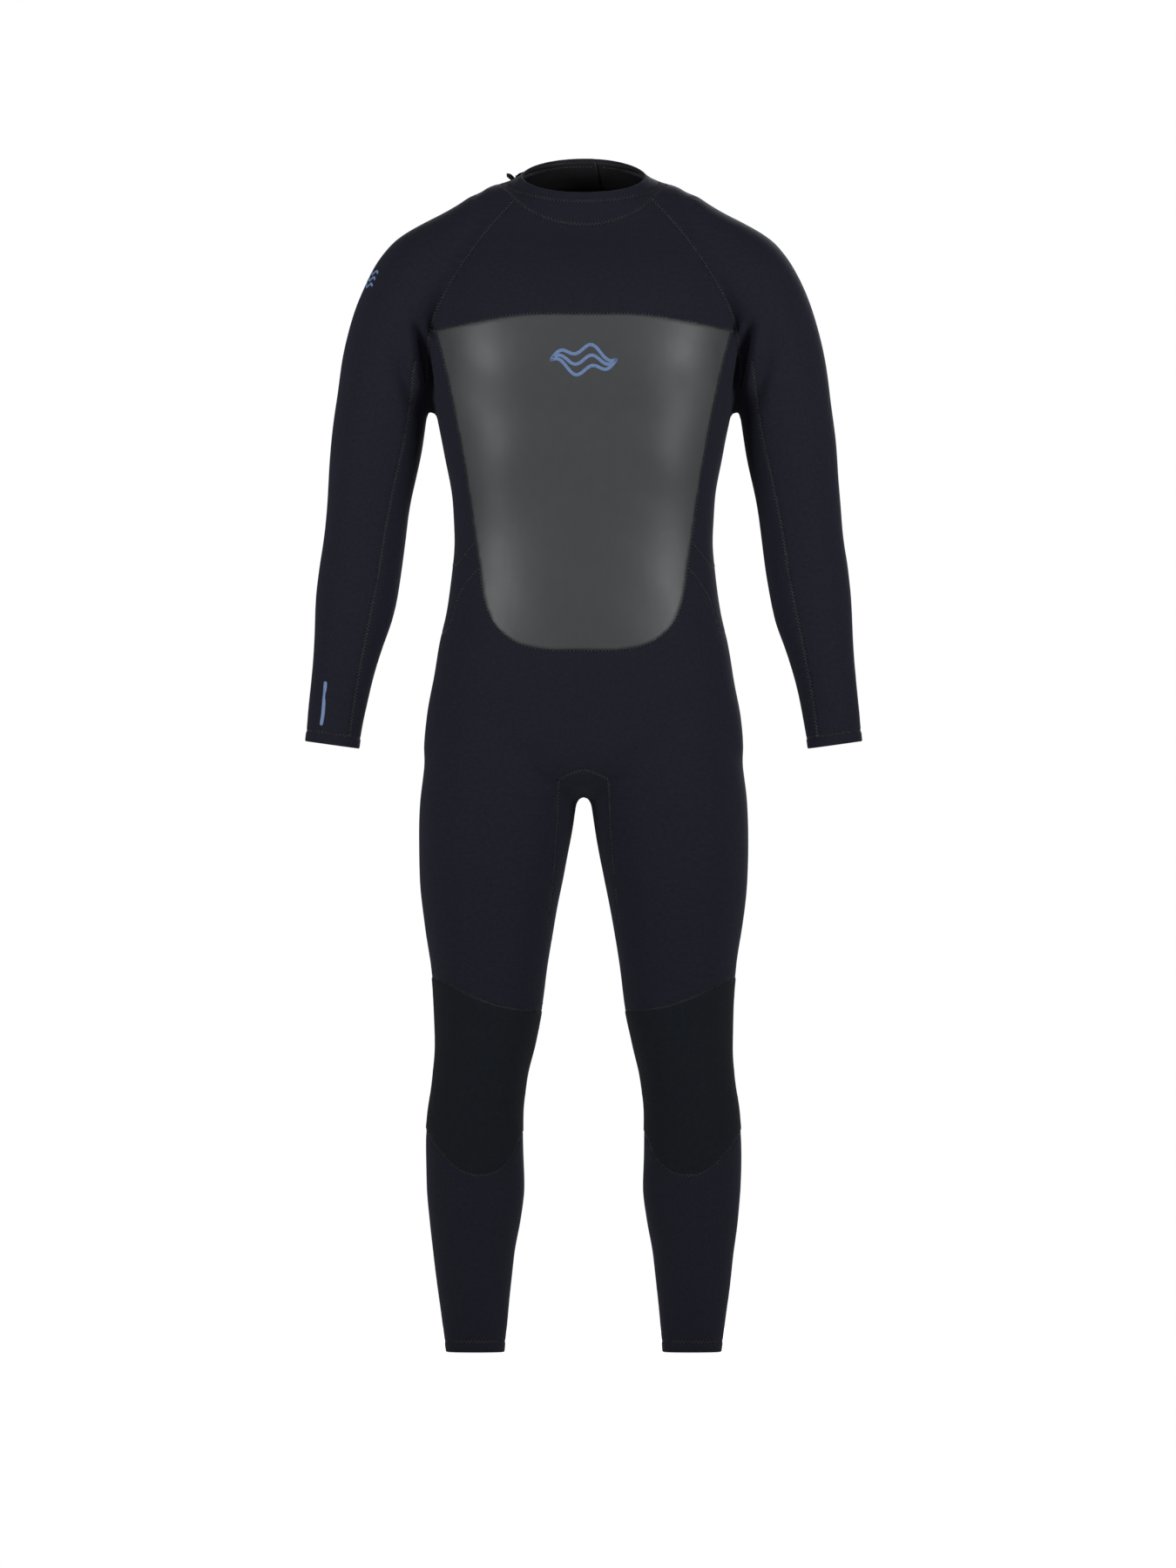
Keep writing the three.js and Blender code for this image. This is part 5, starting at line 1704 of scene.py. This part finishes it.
def coil_plastic():
    """Black nylon monofilament."""
    made, tree, surface = principled("zip_coil", (0.012, 0.012, 0.013), 0.35, Specular_IOR_Level=0.5)
    place, _, _ = cloth_places(tree)
    vary_roughness(tree, surface, noise(tree, place, 400, 2), 0.28, 0.45)
    return made


def painted_metal():
    """Black-painted zinc, worn to bright metal in the odd speck."""
    made, tree, surface = principled("slider_metal", (0.03, 0.03, 0.033), 0.38, Metallic=0.6)
    place = tree.nodes.new("ShaderNodeTexCoord").outputs["Object"]
    worn = noise(tree, place, 700, 6, 0.7)
    vary(tree, surface, worn, (0.02, 0.02, 0.022), (0.06, 0.06, 0.063), 0.58, 0.8)
    vary_roughness(tree, surface, noise(tree, place, 260, 4), 0.28, 0.5)
    bump(tree, surface, noise(tree, place, 1800, 2), 0.03 * MM, 0.4)
    return made


def sewing_thread():
    """Twisted polyester, a little lighter than the jersey."""
    made, tree, surface = principled("thread", (0.047, 0.045, 0.057), 0.6, Specular_IOR_Level=0.35,
                                     Sheen_Weight=0.2)
    place = tree.nodes.new("ShaderNodeTexCoord").outputs["Object"]
    vary(tree, surface, noise(tree, place, 300, 2), (0.038, 0.037, 0.047), (0.055, 0.053, 0.067))
    bump(tree, surface, noise(tree, place, 4000, 1), 0.05 * MM, 0.5)
    return made


# ---- Camera, lights and floor ----
PIXEL = 1.05 * MM        # size of a picture element at the suit
FRAME_HEIGHT = 1800      # picture elements
CAMERA_AT = (5.25 * MM, -21.0, 684.6 * MM)
SENSOR = 36
AMBIENT = 0.17           # the white surround as a light, next to 1 as the camera sees it
FLOOR_RADIUS = 1.0
FLOOR_SEEN = 0.85        # the white floor's own light as the camera sees it
FLOOR_GLOW = 0.12        # and as it lights the suit
# Name, place, target, size, watts and spread in degrees
LIGHTS = [
    ("left_softbox", (-2.2, -1.7, 1.3), (0, 0, 1.14), (0.8, 1.1), 6.5, 70),
    ("right_softbox", (2.2, -1.7, 1.4), (0, 0, 1.16), (0.8, 1.1), 7, 70),
    ("top_softbox", (0, -2.0, 2.7), (0, 0, 1.25), (2.0, 0.8), 1.2, 90),
    ("back_softbox", (0.6, 3.0, 2.4), (0, 0, 1.0), (2.0, 1.4), 75, 180),
]


def make_camera():
    """The photo's camera: far off, level, and square to the suit's front."""
    camera = bpy.data.objects.new("camera", bpy.data.cameras.new("camera"))
    bpy.context.scene.collection.objects.link(camera)
    camera.location = CAMERA_AT
    camera.rotation_euler = (math.radians(90), 0, 0)
    camera.data.sensor_fit = "VERTICAL"
    camera.data.sensor_height = SENSOR
    camera.data.lens = SENSOR * -CAMERA_AT[1] / (FRAME_HEIGHT * PIXEL)
    camera.data.clip_end = 100
    bpy.context.scene.camera = camera


def area_light(name, place, target, size, watts, spread):
    """One soft light that faces its target."""
    light = bpy.data.lights.new(name, "AREA")
    light.shape = "RECTANGLE"
    light.size, light.size_y = size
    light.energy = watts
    light.spread = math.radians(spread)
    lamp = bpy.data.objects.new(name, light)
    lamp.location = place
    lamp.rotation_euler = (Vector(target) - Vector(place)).to_track_quat("-Z", "Y").to_euler()
    bpy.context.scene.collection.objects.link(lamp)


def seen_and_lit(tree, seen, lit, strength):
    """A strength that is one value for the camera and another for what the surface lights."""
    by_camera = tree.nodes.new("ShaderNodeLightPath").outputs["Is Camera Ray"]
    tree.links.new(maths(tree, "MULTIPLY_ADD", by_camera, seen - lit, lit), strength)


def make_surround():
    """An even white surround."""
    scene = bpy.context.scene
    scene.view_settings.view_transform = "Standard"
    world = bpy.data.worlds.new("studio")
    world.use_nodes = True
    background = world.node_tree.nodes["Background"]
    background.inputs["Color"].default_value = (1, 1, 1, 1)
    seen_and_lit(world.node_tree, 1, AMBIENT, background.inputs["Strength"])
    scene.world = world


def make_floor():
    """A round white floor just below the ankles."""
    sides = 96
    turns = [2 * math.pi * k / sides for k in range(sides)]
    mesh = bpy.data.meshes.new("floor")
    ring = [(FLOOR_RADIUS * math.cos(turn), FLOOR_RADIUS * math.sin(turn), -1 * MM) for turn in turns]
    mesh.from_pydata(ring, [], [tuple(range(sides))])
    floor = bpy.data.objects.new("floor", mesh)
    made, tree, surface = principled("floor", (0.86, 0.86, 0.86), 0.8, Specular_IOR_Level=0.1,
                                     Emission_Strength=FLOOR_SEEN)
    surface.inputs["Emission Color"].default_value = (1, 1, 1, 1)
    seen_and_lit(tree, FLOOR_SEEN, FLOOR_GLOW, surface.inputs["Emission Strength"])
    place = tree.nodes.new("ShaderNodeTexCoord").outputs["Object"]
    vary(tree, surface, noise(tree, place, 3, 2), (0.84, 0.84, 0.84), (0.87, 0.87, 0.87))
    mesh.materials.append(made)
    bpy.context.scene.collection.objects.link(floor)


# ---- Build ----
make_camera()
make_surround()
for light in LIGHTS:
    area_light(*light)
make_floor()
OUTER = {
    "jersey": jersey_cloth(), "knee_jersey": knee_cloth(),
    "smoothskin": smooth_skin("smoothskin", (0.05, 0.052, 0.055), (0.056, 0.058, 0.062)),
}
SEAL_SKIN = smooth_skin("seal_skin", (0.011, 0.011, 0.013), (0.014, 0.014, 0.016))
LINING = lining_cloth("lining", (0.011, 0.011, 0.014), (0.02, 0.02, 0.025))
FOAM, PRINT, THREAD_CLOTH = foam_edge(), printed(), sewing_thread()
TAPE = woven("zip_tape", (0.008, 0.008, 0.01), (0.017, 0.017, 0.02), 0.9)
WEBBING = woven("webbing", (0.02, 0.02, 0.024), (0.045, 0.045, 0.05), 1.3)
COIL, METAL = coil_plastic(), painted_metal()

skin = make_skin()
panel, edges = cut_panels(skin)
ground = Ground(skin)
groove = relief(skin, panel, edges)
for name in PANELS:
    slot = "smoothskin" if name == "chest_panel" else "knee_jersey" if name in KNEE_PADS else "jersey"
    piece = make_panel(skin, panel, name, [OUTER[slot], LINING, FOAM], groove)

zip_tape(1, TAPE)
zip_tape(-1, TAPE)
zip_coil(COIL)
zip_baffle(LINING)
metal_part("zip_slider", METAL, 0.35)
metal_part("zip_pull", METAL, 0.3)
metal_part("zip_bottom_stop", METAL, 0.5)
neck_seal(SEAL_SKIN)
pull_loop(ground, WEBBING)
tab_rows = closure(ground, OUTER["jersey"], WEBBING)
mark("chest_mark", ripples(0, 1193, 78, 34, 4), ground.over(FRONT), "torso", PRINT)
mark("right_shoulder_mark", waves(-257, 1293, 28, 22, 3.2), ground.facing(-257, 1293, FRONT),
     "right_shoulder", PRINT)
mark("right_forearm_mark", [ribbon([(-314.5, 757), (-313, 770), (-311.5, 806)], 4.5)],
     ground.facing(-313, 780, FRONT), "right_forearm", PRINT)
sew(seam_stitches(skin.co, skin.normal, edges) + seal_rows() + tab_rows, THREAD_CLOTH)
